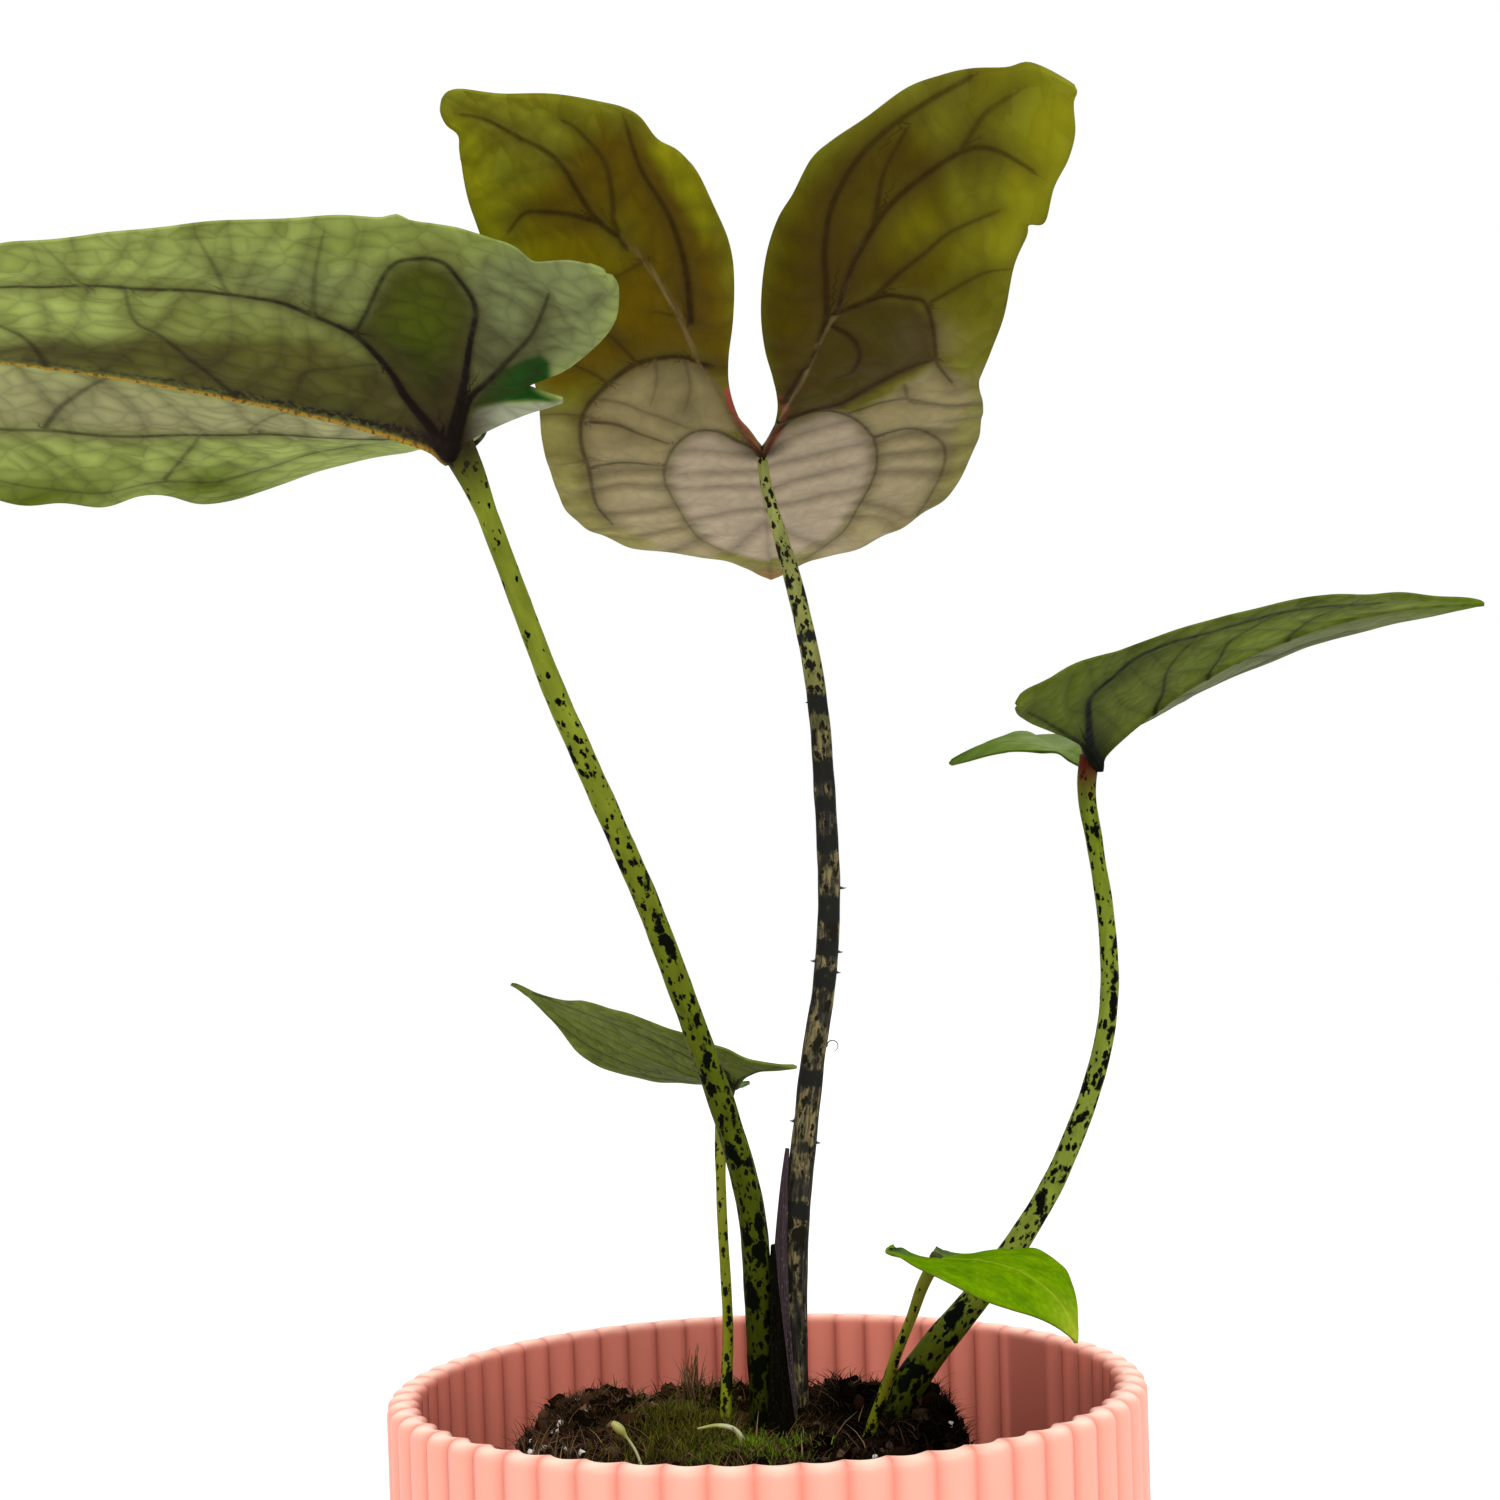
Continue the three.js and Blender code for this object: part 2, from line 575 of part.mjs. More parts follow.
// One half of the blade as a flat net of quads: across from the midrib, and the lobe's rib, to the edge.
// The main side vein runs along the middle of each half, and stands out below it as the ribs do.
function bladeGeometry(blade, grow = 0) {
  const rowsAhead = blade.fine ? 10 : 6;
  const rowsLobe = blade.fine ? 7 : 4;
  const across = blade.fine ? [0, 0.06, 0.3, 0.5, 0.56, 0.78, 1] : [0, 0.12, 0.55, 1];
  const acrossInner = blade.fine ? [0, 0.2, 0.6, 1] : [0, 0.4, 1];
  const veinColumn = blade.fine ? 3 : -1;
  const upper = [];
  const lower = [];
  const triangles = [];
  const indexOf = new Map();

  const vertex = (out, along, half, ridge) => {
    const key = `${out < 1e-9 ? "middle" : half},${out.toFixed(5)},${along.toFixed(5)}`;
    if (!indexOf.has(key)) {
      const point = bladePoint(blade, Math.max(out, 0), along, half);
      const normal = bladeNormal(blade, Math.max(out, 0), along, half);
      indexOf.set(key, upper.length);
      upper.push(point.clone().addScaledVector(normal, BLADE_THICKNESS / 2 + grow));
      lower.push(point.clone().addScaledVector(normal, -BLADE_THICKNESS / 2 - ridge - grow));
    }
    return indexOf.get(key);
  };
  const join = (rows, flip) => {
    for (let i = 0; i + 1 < rows.length; i++) {
      for (let j = 0; j + 1 < rows[i].length; j++) {
        const quad = [rows[i][j], rows[i][j + 1], rows[i + 1][j + 1], rows[i + 1][j]];
        for (const [a, b, c] of [[quad[0], quad[1], quad[2]], [quad[0], quad[2], quad[3]]]) {
          if (a === b || b === c || c === a) continue;
          triangles.push(flip ? [a, c, b] : [a, b, c]);
        }
      }
    }
  };

  for (const half of ["right", "left"]) {
    const points = half === "left" && blade.outlineLeft ? blade.outlineLeft : blade.outline;
    const last = points.length - 1;
    const edge = planeCurve(points);
    const lobeTip = 7;
    const widest = 4;
    const rib = planeCurve([[0, 0], ...blade.rib, points[lobeTip]]);
    const row = (from, to, shares, ridgeAt) =>
      shares.map((share, j) => vertex(lerp(from.x, to.x, share), lerp(from.y, to.y, share), half, ridgeAt(j)));
    const outerRows = [];
    for (let i = 0; i <= rowsAhead; i++) {
      const share = i / rowsAhead;
      const from = new THREE.Vector2(0, blade.length * (1 - share));
      const to = i === 0 ? from : edge.getPoint((share * widest) / last);
      const ridgeAt = (j) => (j === 0 ? blade.ridge * (0.3 + 0.7 * share) : 0) + (j === veinColumn ? 0.35 * share : 0);
      outerRows.push(row(from, to, across, ridgeAt));
    }
    const innerRows = [];
    for (let i = 0; i <= rowsLobe; i++) {
      const share = i / rowsLobe;
      const from = i === 0 ? new THREE.Vector2(0, 0) : rib.getPoint(share);
      const ridgeAt = (j) => (j === 0 ? blade.ridge * (1 - 0.75 * share) : 0);
      if (i > 0) {
        const to = i === rowsLobe ? from : edge.getPoint((widest + share * (lobeTip - widest)) / last);
        outerRows.push(row(from, to, across, ridgeAt));
      }
      const back = i === rowsLobe ? from : edge.getPoint((last - share * (last - lobeTip)) / last);
      innerRows.push(row(from, back, acrossInner, ridgeAt));
    }
    join(outerRows, half === "right");
    join(innerRows, half === "left");
  }
  return closedSheet(upper, lower, triangles);
}

const plant = new THREE.Group();

function addPiece(name, geometry, colour, roughness) {
  geometry.computeVertexNormals();
  const material = new THREE.MeshStandardMaterial({ color: colour, roughness, metalness: 0 });
  const mesh = new THREE.Mesh(geometry, material);
  mesh.name = name;
  plant.add(mesh);
}

addPiece("pot", potGeometry(), COLOURS.pot, 0.5);

const rootstock = stemGeometry(ROOTSTOCK, { sides: 12, steps: 12 });
const rootstockSpace = stemGeometry(ROOTSTOCK, { sides: 12, steps: 12, grow: GAP });
addPiece("rootstock", rootstock, COLOURS.rootstock, 0.9);

const soilCutters = [rootstockSpace];
for (const blade of BLADES) {
  const colour = blade.name === "blade_small_right" ? COLOURS.youngBlade : COLOURS.blade;
  addPiece(blade.name, bladeGeometry(blade), colour, 0.45);
}
for (const stalk of STALKS) {
  const detail = { sides: 10, steps: stalk.radii.length > 6 ? 26 : 14 };
  const blade = BLADES.find((item) => item.name === stalk.blade);
  const plain = stemGeometry(stalk, detail);
  const grown = stalk.thorns ? addThorns(plain, stalk) : plain;
  const colour = stalk.name === "stalk_back" ? COLOURS.darkStalk : COLOURS.stalk;
  addPiece(stalk.name, cut(grown, [rootstockSpace, bladeGeometry(blade), bladeGeometry(blade, 1.5 * GAP)]), colour, 0.5);
  soilCutters.push(holeGeometry(stalk, SHEATHS.find((sheath) => sheath.stalk === stalk.name)));
}
for (const sheath of SHEATHS) {
  const stem = STALKS.find((stalk) => stalk.name === sheath.stalk);
  addPiece(sheath.name, sheathGeometry(sheath, stem), COLOURS.sheath, 0.7);
}
for (const seedling of SEEDLINGS) {
  addPiece(seedling.name, stemGeometry(seedling, { sides: 6, steps: 10 }), COLOURS.seedling, 0.5);
  soilCutters.push(stemGeometry(seedling, { sides: 6, steps: 10, grow: GAP }));
}
addPiece("soil", cut(soilGeometry(), soilCutters), COLOURS.soil, 0.95);

export default plant;
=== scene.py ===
import math
import random
from itertools import combinations

import bpy
import numpy as np
from mathutils import Matrix, Vector, noise


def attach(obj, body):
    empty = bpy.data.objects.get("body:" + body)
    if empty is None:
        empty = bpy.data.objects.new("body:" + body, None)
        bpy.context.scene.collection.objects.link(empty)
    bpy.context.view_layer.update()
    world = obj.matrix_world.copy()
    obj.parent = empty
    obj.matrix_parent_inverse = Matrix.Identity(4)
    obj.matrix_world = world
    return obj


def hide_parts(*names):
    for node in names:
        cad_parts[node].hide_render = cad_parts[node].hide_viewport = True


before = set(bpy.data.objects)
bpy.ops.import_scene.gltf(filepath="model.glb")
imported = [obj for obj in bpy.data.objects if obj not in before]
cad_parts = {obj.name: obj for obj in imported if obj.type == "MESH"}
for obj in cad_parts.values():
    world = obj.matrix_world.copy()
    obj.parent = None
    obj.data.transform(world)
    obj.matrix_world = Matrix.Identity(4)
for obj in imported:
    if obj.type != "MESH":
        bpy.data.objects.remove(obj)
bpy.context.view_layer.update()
scene = bpy.context.scene
MM = 0.001

# Camera, fitted to the photograph
CAMERA_PLACE = (-6.1, -353.9, 197.5)
CAMERA_YAW = 1.10
CAMERA_PITCH = 7.90
CAMERA_ROLL = -1.85
CAMERA_LENS = 43.58

# Pot, as in the part's source
POT_HEIGHT = 128
RIM_RADIUS = 70
BASE_RADIUS = 66
FLUTES = 60
FLUTE_DEPTH = 1.4
WALL = 4.6
FLOOR = 4
EDGE_ROUND = 2
PLAIN_PANEL = (26, 38)
RIM_RINGS = 13

# Soil, as in the part's source
SOIL_EDGE_HEIGHT = 95
SOIL_FOOT = 62.5
SOIL_BOTTOM = 60.0
MOUND = {"x": -6, "y": 5, "height": 117, "flat": 38, "foot": 55}
CLODS = [
    (-33, 14, 12, 6),
    (-20, 2, 9, 3),
    (14, 16, 11, 6),
    (27, 12, 10, 5),
    (-6, 22, 12, 4),
    (34, 4, 8, 5),
]

# Loose grains of the soil. A heap has the middle and reach of its place, and how many clods lie there.
CRUMB_COUNT = 2400
PERLITE_COUNT = 60
CLOD_HEAPS = [(-31, 6, 9, 12, 160), (24, 8, 13, 10, 160), (-8, 14, 10, 8, 60)]

# Moss, fibres and roots: how many, the middle and reach of the place, the least and most height and lean,
# and the material
MOSS = {
    "moss_bright": (1300, (-3, -13, 11, 9), (1.2, 3.6), (0.1, 0.8), "moss_bright"),
    "moss_brown": (2800, (-14, 0, 13, 22), (2.0, 5.2), (0.1, 0.9), "moss_brown"),
    "moss_clumps": (2600, (-32, 6, 12, 14), (1.2, 3.6), (0.2, 1.6), "fibre"),
    "moss_right": (3200, (25, 6, 16, 15), (1.2, 3.8), (0.2, 1.6), "fibre_dark"),
    "soil_fibres": (3000, (0, 0, 60, 50), (2.0, 5.5), (0.4, 1.8), "fibre"),
    "dry_fibres": (260, (-16, -6, 50, 40), (3.0, 8.0), (0.6, 1.6), "dry"),
    "roots_left": (50, (-44, -16, 6, 8), (4.0, 9.0), (0.2, 1.0), "dry"),
    "roots_right": (60, (42, -12, 9, 9), (4.0, 9.0), (0.3, 1.4), "fibre"),
    "moss_upright": (40, (-15, 20, 3, 4), (5.0, 13.0), (0.1, 0.4), "dry"),
}

# Leaves, as in the part's source, with finer edges and their veins. marks are the places in an outline of
# the widest point and the lobe's end. Points are distances out from the midrib and forward of the stalk. For
# each half, a vein has its width, its strength and its points. A ladder has its strength, its reach, its
# number of rungs, and the two lines that they join. A zone has its kind, its strength, the softness of its
# edge and its outline. A spot has its kind, its middle, its reach and its strength.
BOTH = ("right", "left")
NONE = {"right": [], "left": []}
# Each leaf also sets how strong the painted shade along its rungs is, within the ladder's reach, and how
# strong the painted highlight is in a band forward of each rung; crisp sets the rungs' thin dark veins.
LEAVES = [
    {
        "name": "blade_left", "place": (-50.5, -48.5, 295.5), "heading": 189.5, "pitch": 11.5, "roll": -3.5,
        "bend": (3, -22), "lobe_bend": {"right": (100, -20), "left": (1, 17)},
        "fold": {"right": (39, 23, -52.5), "left": (8, 24.5, -11)}, "length": 116, "lobe": 24,
        "outline": {
            "right": [
                (0, 116), (16, 98), (32, 80), (36, 69), (38.8, 62), (38.2, 56), (40, 51), (45.5, 45.5),
                (47.6, 39.5), (45.5, 32), (43, 25), (42.5, 14.5), (45, 4), (45, -8), (42, -17), (37.5, -29),
                (35.5, -28.6), (26, -20), (13.5, -9.5), (6, -4.6), (2, -2.8), (0, -1.5),
            ],
            "left": [
                (0, 116), (16, 98), (32, 80), (37.8, 68), (39.7, 56), (42.6, 46), (44.3, 37), (46.2, 23),
                (46.6, 15.5), (47.7, 12.6), (46.8, 10), (47, 0.8), (47.8, -5.2), (46.6, -8.6),
                (47.2, -10.4), (49.2, -12.8), (51.8, -16), (53.2, -19.4), (52.9, -22.4), (50.8, -24.6),
                (47, -25.4), (42, -25.4), (36, -23.4), (29, -19.7), (24.6, -16.4), (19.2, -12), (18.6, -12),
                (18.4, -14.2), (17.8, -18.5), (14, -14.5), (10.8, -11.2), (7, -7.2), (4, -4), (2.4, -2.4),
                (1, -1.8), (0, -1.5),
            ],
        },
        "marks": {"right": (12, 15), "left": (11, 18)}, "rib": [(10.5, -6), (28, -15)], "rows": (130, 56),
        "veins": {
            "right": [
                (1.1, 0.8, [
                    (1, 1), (9, 7), (15, 13), (16, 29.5), (17, 43.5), (18, 56), (16.5, 68.5), (15, 82),
                    (8, 100),
                ]),
                (0.8, 0.5, [
                    (2, 1), (13, 3), (20, 11.5), (29.5, 27), (37, 40.5), (34, 51.5), (34, 64.5), (26, 82),
                ]),
                (1.1, 0.9, [(1, -1), (10.5, -8), (28, -17.5), (36, -24)]),
                (1.1, 0.6, [(16, 70), (9.5, 66), (3, 60), (0, 56.5)]),
                (0.9, 0.5, [(33, 51.5), (27.5, 48.5), (20, 45), (17, 44)]),
                (0.9, 0.4, [(0, 26), (6, 31), (16, 36)]),
                (0.9, 0.5, [(0, 84), (6, 88), (13, 94)]),
            ],
            "left": [
                (1.2, 1.0, [
                    (1, 1), (9, 8), (15.5, 12), (22, 17.5), (25, 24.5), (27.5, 31.5), (28, 44), (27, 62),
                    (24, 80), (13, 100),
                ]),
                (1.2, 1.0, [
                    (1, 0), (6, -0.5), (16, -1), (25, -1), (33, -1), (38, 2.5), (40.5, 5.5), (40, 10),
                    (37.5, 13), (29, 15.5), (22, 17.5),
                ]),
                (1.1, 0.9, [(1, -1), (11.5, -2), (18, -5), (25.5, -8.5), (33, -11.5), (42, -13)]),
                (1.1, 0.6, [(0, 36), (8.5, 43), (14, 47.5), (18, 51.5), (27, 52)]),
                (1.1, 0.6, [(0, 67.5), (9, 69), (14, 72.5), (22, 82)]),
                (0.9, 0.45, [(28, 37), (34, 38.5), (42, 41)]),
                (0.9, 0.45, [(25, 24), (34, 24), (43, 23)]),
                (0.8, 0.35, [(8, 26), (11, 24.5), (14, 18), (16, 12.5)]),
                (0.8, 0.3, [(27, 58), (33, 60), (38, 62)]),
            ],
        },
        "ladders": {
            "right": [
                (0.35, 1.3, 9, [(0, 8), (0, 92)], [(15, 13), (17, 43), (16, 90)]),
                (0.3, 1.3, 8, [(15, 16), (18, 56), (15, 84)], [(24, 18), (36, 42), (32, 70)]),
            ],
            "left": [
                (0.35, 1.3, 9,
                 [(0, 8), (0, 90)],
                 [(12, 10), (23, 18), (27.5, 31.5), (28, 44), (27, 62), (22, 88)]),
                (0.35, 1.3, 11,
                 [(24, 22), (28, 44), (27, 62), (22, 88)],
                 [(46, 16), (44, 37), (40, 56), (30, 84)]),
                (0.4, 1.3, 6, [(8, -1.5), (42, -13)], [(10, -0.5), (44, -2)]),
                (0.4, 1.3, 6, [(8, -2), (42, -13)], [(16, -10), (50, -23)]),
            ],
        },
        "zones": {
            "right": [
                ("pale", 0.75, 5, [
                    (0, 0), (15, 13), (16, 29.5), (17, 43.5), (18, 56), (16.5, 68.5), (15, 90), (0, 90),
                ]),
                ("ring", 1.0, 2, [(-4, 1), (60, 1), (60, -40), (-4, -40)]),
            ],
            "left": [
                ("olive", 0.95, 2, [
                    (0, 2), (9, 8), (15.5, 12), (22, 17.5), (29, 15.5), (37.5, 13), (40.5, 8), (38, 2.5),
                    (33, -1), (16, -1), (6, -0.5),
                ]),
                ("warm", 0.9, 4, [
                    (0, 2), (8, 8), (16, 13), (21, 22), (19, 34), (14, 54), (7, 78), (0, 84),
                ]),
                ("warm", 0.45, 6, [(8, 8), (24, 20), (26, 34), (24, 48), (10, 56)]),
                ("brown", 0.85, 4, [
                    (14, -4), (22, 1), (36, 3), (43, 0), (50, -8), (56, -18), (50, -26), (34, -24),
                    (20, -13),
                ]),
                # This green zone is painted shade: the dark green seen in shade between the lobes, painted on
                # the near lobe.
                ("green", 1.0, 0.7, [
                    (11, -2.5), (16, -4.6), (21, -6.5), (25, -10), (28.2, -13), (27.5, -15), (21, -16),
                    (18.8, -12.2), (18.4, -14), (17.8, -17.6), (16.4, -13.2), (13.2, -7.2), (10, -3.2),
                ]),
                ("ring", 1.0, 0.5, [
                    (2.8, -2.2), (7.2, -2.7), (10.4, -3.6), (13.2, -7.2), (16.2, -13.6), (18.6, -19.4),
                    (13, -15.4), (6, -8), (2, -3),
                ]),
                ("warm", 0.45, 5, [(8, -2), (18, -5), (34, -11), (44, -6), (46, 4), (36, 0), (20, -2)]),
            ],
        },
        "spots": {
            "right": [
                ("warm", (13, 54), (6, 12), 0.45), ("fresh", (33, 43), (5, 6), 0.8),
                ("fresh", (44, 40), (5, 7), 0.9), ("fresh", (37, 44), (6, 8), 0.9),
                ("fresh", (34, 74), (7, 12), 0.9),
            ],
            "left": [
                ("dark", (4, 1), (9, 8), 1.0), ("dark", (13, 2), (8, 6), 0.85),
                ("dark", (19, 8), (7, 7), 0.6), ("dark", (11, 12), (5, 8), 0.5),
                ("dark", (4, 18), (5, 18), 0.5), ("dark", (23, 17), (3, 4), 0.6),
                ("dark", (27, 25), (3, 8), 0.35), ("dark", (24, -5), (8, 4), 0.5),
                ("dark", (28, -12), (12, 4), 0.4), ("brown", (32, 26), (6, 14), 0.6),
                ("brown", (30, 14), (5, 6), 0.6), ("warm", (20, 33), (6, 9), 0.5),
                ("dark", (22, 4), (5, 5), 0.35), ("warm", (8, 54), (6, 18), 0.6),
                ("dark", (9, 42), (5, 7), 0.4), ("dark", (7, 60), (4, 9), 0.45),
                ("olive", (24, 4), (9, 6), 0.6), ("warm", (42, 4), (5, 5), 0.5),
                ("warm", (32, 32), (4, 8), 0.3), ("fresh", (24, 7), (6, 4), 0.5),
                ("fresh", (42, 20), (6, 20), 0.2), ("pale", (8, 96), (12, 18), 0.5),
            ],
        },
        "wave": 0.25, "ridge": 1.0, "collar": 1.6, "under": "under_left", "upper": "upper_left",
        "painted_rung_highlight": 0.25, "soft": 0.6, "crisp": 0.35, "fine": True,
    },
    {
        "name": "blade_back", "place": (5.5, 16, 312.5), "heading": 87.5, "pitch": -3.5, "roll": 1.5,
        "bend": (4, 1), "lobe_bend": {"right": (42.5, 20.5), "left": (42.5, 20.5)},
        "fold": {"right": (-22.5, 7, -4.5), "left": (19, -0.5, 1)}, "length": 107.5, "lobe": 96.5,
        "outline": {
            "right": [
                (0, 107.5), (9.5, 89), (20, 80), (31, 65), (38, 52.5), (43.5, 40), (47, 18), (47.3, 6),
                (46.3, -8), (43.8, -23), (44, -30), (46.5, -47), (47.8, -59), (50, -65.4), (50.3, -67.4),
                (53, -67.9), (54.5, -73.4), (56.8, -77.4), (58, -81), (57.9, -85), (58.6, -86.7), (57, -88),
                (51, -90.4), (47, -90), (41, -90.1), (36, -89.5), (29.7, -87.9), (22.3, -83.8),
                (16.3, -80.5), (12.3, -77.4), (8.7, -71.5), (5.5, -66.5), (3, -59), (1.6, -48), (1.9, -38),
                (3.6, -27), (4.7, -18), (2.8, -10), (0, -2.5),
            ],
            "left": [
                (0, 107.5), (3, 100.5), (7.5, 90), (13.5, 81), (22.5, 73.5), (30.8, 68), (36.5, 59),
                (42, 46), (45.3, 29), (45.3, 8.5), (45, -10), (44, -27), (48, -50), (52.5, -71),
                (53.4, -79), (53.6, -82.6), (56, -85), (57.1, -88.3), (56, -91.2), (53.3, -92.7),
                (45, -91.1), (34.5, -90.3), (25.3, -88.2), (21.3, -87), (18.5, -85.2), (15.6, -81.2),
                (11.8, -79), (8.5, -75), (5.5, -68.5), (3.5, -61.5), (3, -55), (4, -44), (5.7, -33),
                (5.7, -26), (4.6, -18.5), (2.5, -11), (0, -3),
            ],
        },
        "marks": {"right": (8, 20), "left": (10, 18)}, "rib": [(8.5, -28), (25, -66.5)], "rows": (84, 150),
        "veins": {
            "right": [
                (0.9, 0.55, [(0.5, -1), (7, -22.5), (10, -35), (15.5, -47.5)]),
                (1.2, 1.0, [
                    (15.5, -47.5), (18.8, -58), (21.5, -63.5), (26, -70), (32.2, -75), (39.5, -79),
                    (45, -79), (51, -76),
                ]),
                (1.4, 1.0, [
                    (5, -22), (13, -43), (14, -54), (14, -61), (15.5, -69), (19.5, -76), (25, -81.3),
                    (33, -85.8), (41, -89),
                ]),
                (1.1, 0.8, [(23, -66), (24.2, -71.5), (25.5, -76), (29.5, -82)]),
                (1.0, 0.6, [(39, -79), (43, -84), (49, -87)]),
                (1.2, 1.0, [
                    (14, -47), (23.7, -52), (28.3, -52), (32, -50.8), (33.5, -45), (34.2, -39), (35, -33),
                    (38, -26),
                ]),
                (1.1, 0.8, [
                    (20, -50), (23.7, -53), (27.5, -57.5), (32, -61.5), (36.5, -65.5), (45, -69.5),
                ]),
                (1.2, 1.0, [(14.5, -45), (18.2, -42), (20, -37), (18.5, -31), (15.8, -29)]),
                (1.5, 1.0, [
                    (4, -14), (10, -17), (16.7, -20), (22.3, -25.5), (27, -30), (31.5, -33.5), (35, -35),
                ]),
                (0.8, 0.6, [(33.2, -51), (38.2, -55), (42.7, -58), (47, -59)]),
                (0.8, 0.75, [
                    (3, -9), (7, -15), (14, -17), (19, -12), (24, 3), (25, 22.5), (22, 41.5), (18, 63),
                    (9, 85),
                ]),
                (1.0, 0.7, [(24, 1.5), (30, -0.5), (35.5, 4.5), (40, 15), (40, 30), (36, 54.5)]),
                (0.9, 0.55, [(18, -15), (28.2, -18.8), (36.7, -13.6), (45.5, -8.8)]),
                (0.9, 0.5, [(29, -25), (30.5, -17), (34.7, -13.6)]),
            ],
            "left": [
                (0.9, 0.5, [
                    (0.5, -1), (4, -12), (8.2, -27), (11.2, -35.3), (13.7, -46), (16.7, -53), (20.2, -59),
                    (24, -63.3),
                ]),
                (1.2, 0.9, [
                    (24, -63), (28, -66.3), (31, -71.5), (34.7, -77.8), (41.5, -82), (48, -85.8),
                    (52.5, -87),
                ]),
                (1.4, 1.0, [(11.8, -45), (11.7, -53), (12.2, -59.3), (14.5, -68), (19, -76.3), (21, -84)]),
                (1.2, 0.75, [(23, -61), (24.7, -66), (24.5, -70), (25.5, -77), (30, -83), (33, -85)]),
                (1.1, 0.9, [(27, -65.5), (33, -67), (37.7, -67.3), (41.7, -66.8), (45, -63)]),
                (0.9, 0.5, [(19, -58.5), (23.5, -55.5), (27, -53.5)]),
                (0.9, 0.5, [(13.2, -46), (18.5, -47)]),
                (1.3, 1.0, [
                    (9.5, -34), (14, -36), (19, -35.5), (24, -33.5), (29.5, -28), (35, -20), (37, -10),
                    (37, 4.5), (38, 26.5), (36, 42),
                ]),
                (0.9, 0.6, [(29, -28), (33.5, -31.8), (38, -34)]),
                (0.9, 0.6, [(23, -34), (27, -40), (31, -44)]),
                (0.8, 0.6, [
                    (1, -3), (4.5, -6.5), (9, -11.5), (14.5, -10.5), (19, -3), (21.5, 12), (20, 33),
                    (17, 57.5), (11.5, 71.5),
                ]),
                (1.1, 0.75, [(34, -16.5), (29, -15.3), (24.5, -11), (19, -7)]),
                (1.0, 0.4, [(31.5, -23.3), (26.7, -22), (21, -18), (15, -13)]),
                (1.2, 0.75, [(36.5, 2.5), (29, 1.2), (21, 4)]),
                (0.9, 0.4, [(35, -1), (39.5, -0.6), (44, 0.4)]),
                (0.9, 0.4, [(33.7, -17.8), (39, -19), (44, -19)]),
                (0.8, 0.35, [(19.5, -35), (19.7, -29), (21.5, -22)]),
                (0.8, 0.35, [(13.7, -35), (13.2, -27), (15, -19)]),
            ],
        },
        "ladders": {
            "right": [
                (0.34, 2.4, 5, [(0, -4), (0, 52)], [(15, -16), (24.5, 8), (24, 30), (10, 84)]),
                (0.45, 2.8, 5, [(24, 4), (25, 22), (19, 58)], [(40, 2), (41, 30), (27, 74)]),
                (0.3, 2.2, 6, [(38, -26), (40, 5), (36, 56)], [(45, -28), (47, 10), (42, 46)]),
                (0.14, 1.8, 9, [(8, -28), (15, -52), (20, -76)], [(3, -24), (3, -54), (12, -76)]),
                (0.14, 1.8, 7, [(20, -60), (30, -74), (46, -79)], [(15, -66), (20, -77), (40, -88)]),
                (0.14, 1.8, 6, [(24, -55), (36, -65), (45, -70)], [(22, -63), (32, -75), (48, -78)]),
            ],
            "left": [
                (0.34, 2.4, 5, [(0, -2), (0, 50)], [(13, -11), (21, 12), (19.5, 36), (8, 84)]),
                (0.45, 2.8, 5, [(20, 0), (20.5, 30), (14, 64)], [(37, 2), (38, 30), (20, 80)]),
                (0.3, 2.2, 6, [(36, -20), (38, 26), (30, 62)], [(44, -22), (45, 26), (36, 59)]),
                (0.14, 1.8, 8, [(9, -32), (12, -56), (18, -76)], [(5, -32), (4, -56), (10, -76)]),
                (0.14, 1.8, 7, [(14, -48), (23, -62), (36, -79)], [(12, -56), (16, -72), (26, -86)]),
                (0.14, 1.8, 6, [(26, -66), (36, -79), (50, -87)], [(44, -60), (50, -72), (53, -82)]),
            ],
        },
        "zones": {
            "right": [
                ("pale", 1.0, 2.4, [
                    (-4, -3), (5, -12), (14, -17), (19, -12), (24, 3), (25, 22.5), (22, 41.5), (15, 66),
                    (6, 80), (-4, 84),
                ]),
                ("ring", 0.9, 2.2, [
                    (14, -17), (20, -15), (26, -22), (34, -34), (40, -28), (43, -14), (41, 0), (42, 15),
                    (40, 32), (36, 56), (26, 72), (10, 90), (16, 66), (25, 22), (24, 3), (19, -12),
                ]),
                ("dark", 0.8, 1.6, [
                    (1, -3), (4, -14), (10, -16.5), (17, -18), (26, -27), (34.5, -35), (34, -45), (30, -51),
                    (22, -51.5), (15, -48), (10, -35), (6, -22),
                ]),
                ("olive", 1.0, 4, [
                    (0, -3), (3, -10), (7, -22), (10, -35), (15, -48), (24, -53), (34, -52), (38, -58),
                    (38, -68), (36, -78), (30, -84), (16, -79), (5, -66), (1, -50), (3, -30), (4, -18),
                ]),
                ("green", 1.0, 6, [
                    (32, -20), (50, -34), (52, 10), (48, 50), (20, 96), (0, 120), (0, 90), (24, 60),
                    (36, 10),
                ]),
                ("red", 1.0, 0.5, [
                    (0, -2), (2.8, -10), (4.7, -18), (4.2, -24), (5.4, -24), (6, -18), (4.3, -9), (1.3, -1),
                ]),
                ("fresh", 0.6, 4, [
                    (46, -58), (48, -64), (56, -74), (60, -86), (52, -88), (46, -76), (42, -66),
                ]),
                ("tan", 1.0, 0.35, [
                    (0, -2), (4, -14), (9.4, -29.5), (13.1, -41.8), (16, -47.5), (19, -57.8), (21, -63.5),
                    (18.6, -57.8), (15.2, -47.5), (12.3, -41.8), (8.6, -29.5), (3.4, -14),
                ]),
            ],
            "left": [
                ("pale", 1.0, 2.4, [
                    (-4, -3), (4.5, -6.5), (9, -11.5), (14.5, -10.5), (19, -3), (21.5, 12), (20, 33),
                    (17, 57.5), (11.5, 71.5), (-4, 90),
                ]),
                ("ring", 0.9, 1.6, [
                    (3, -12), (8, -28), (11, -35), (14, -36), (19, -35.5), (24, -33.5), (29.5, -28),
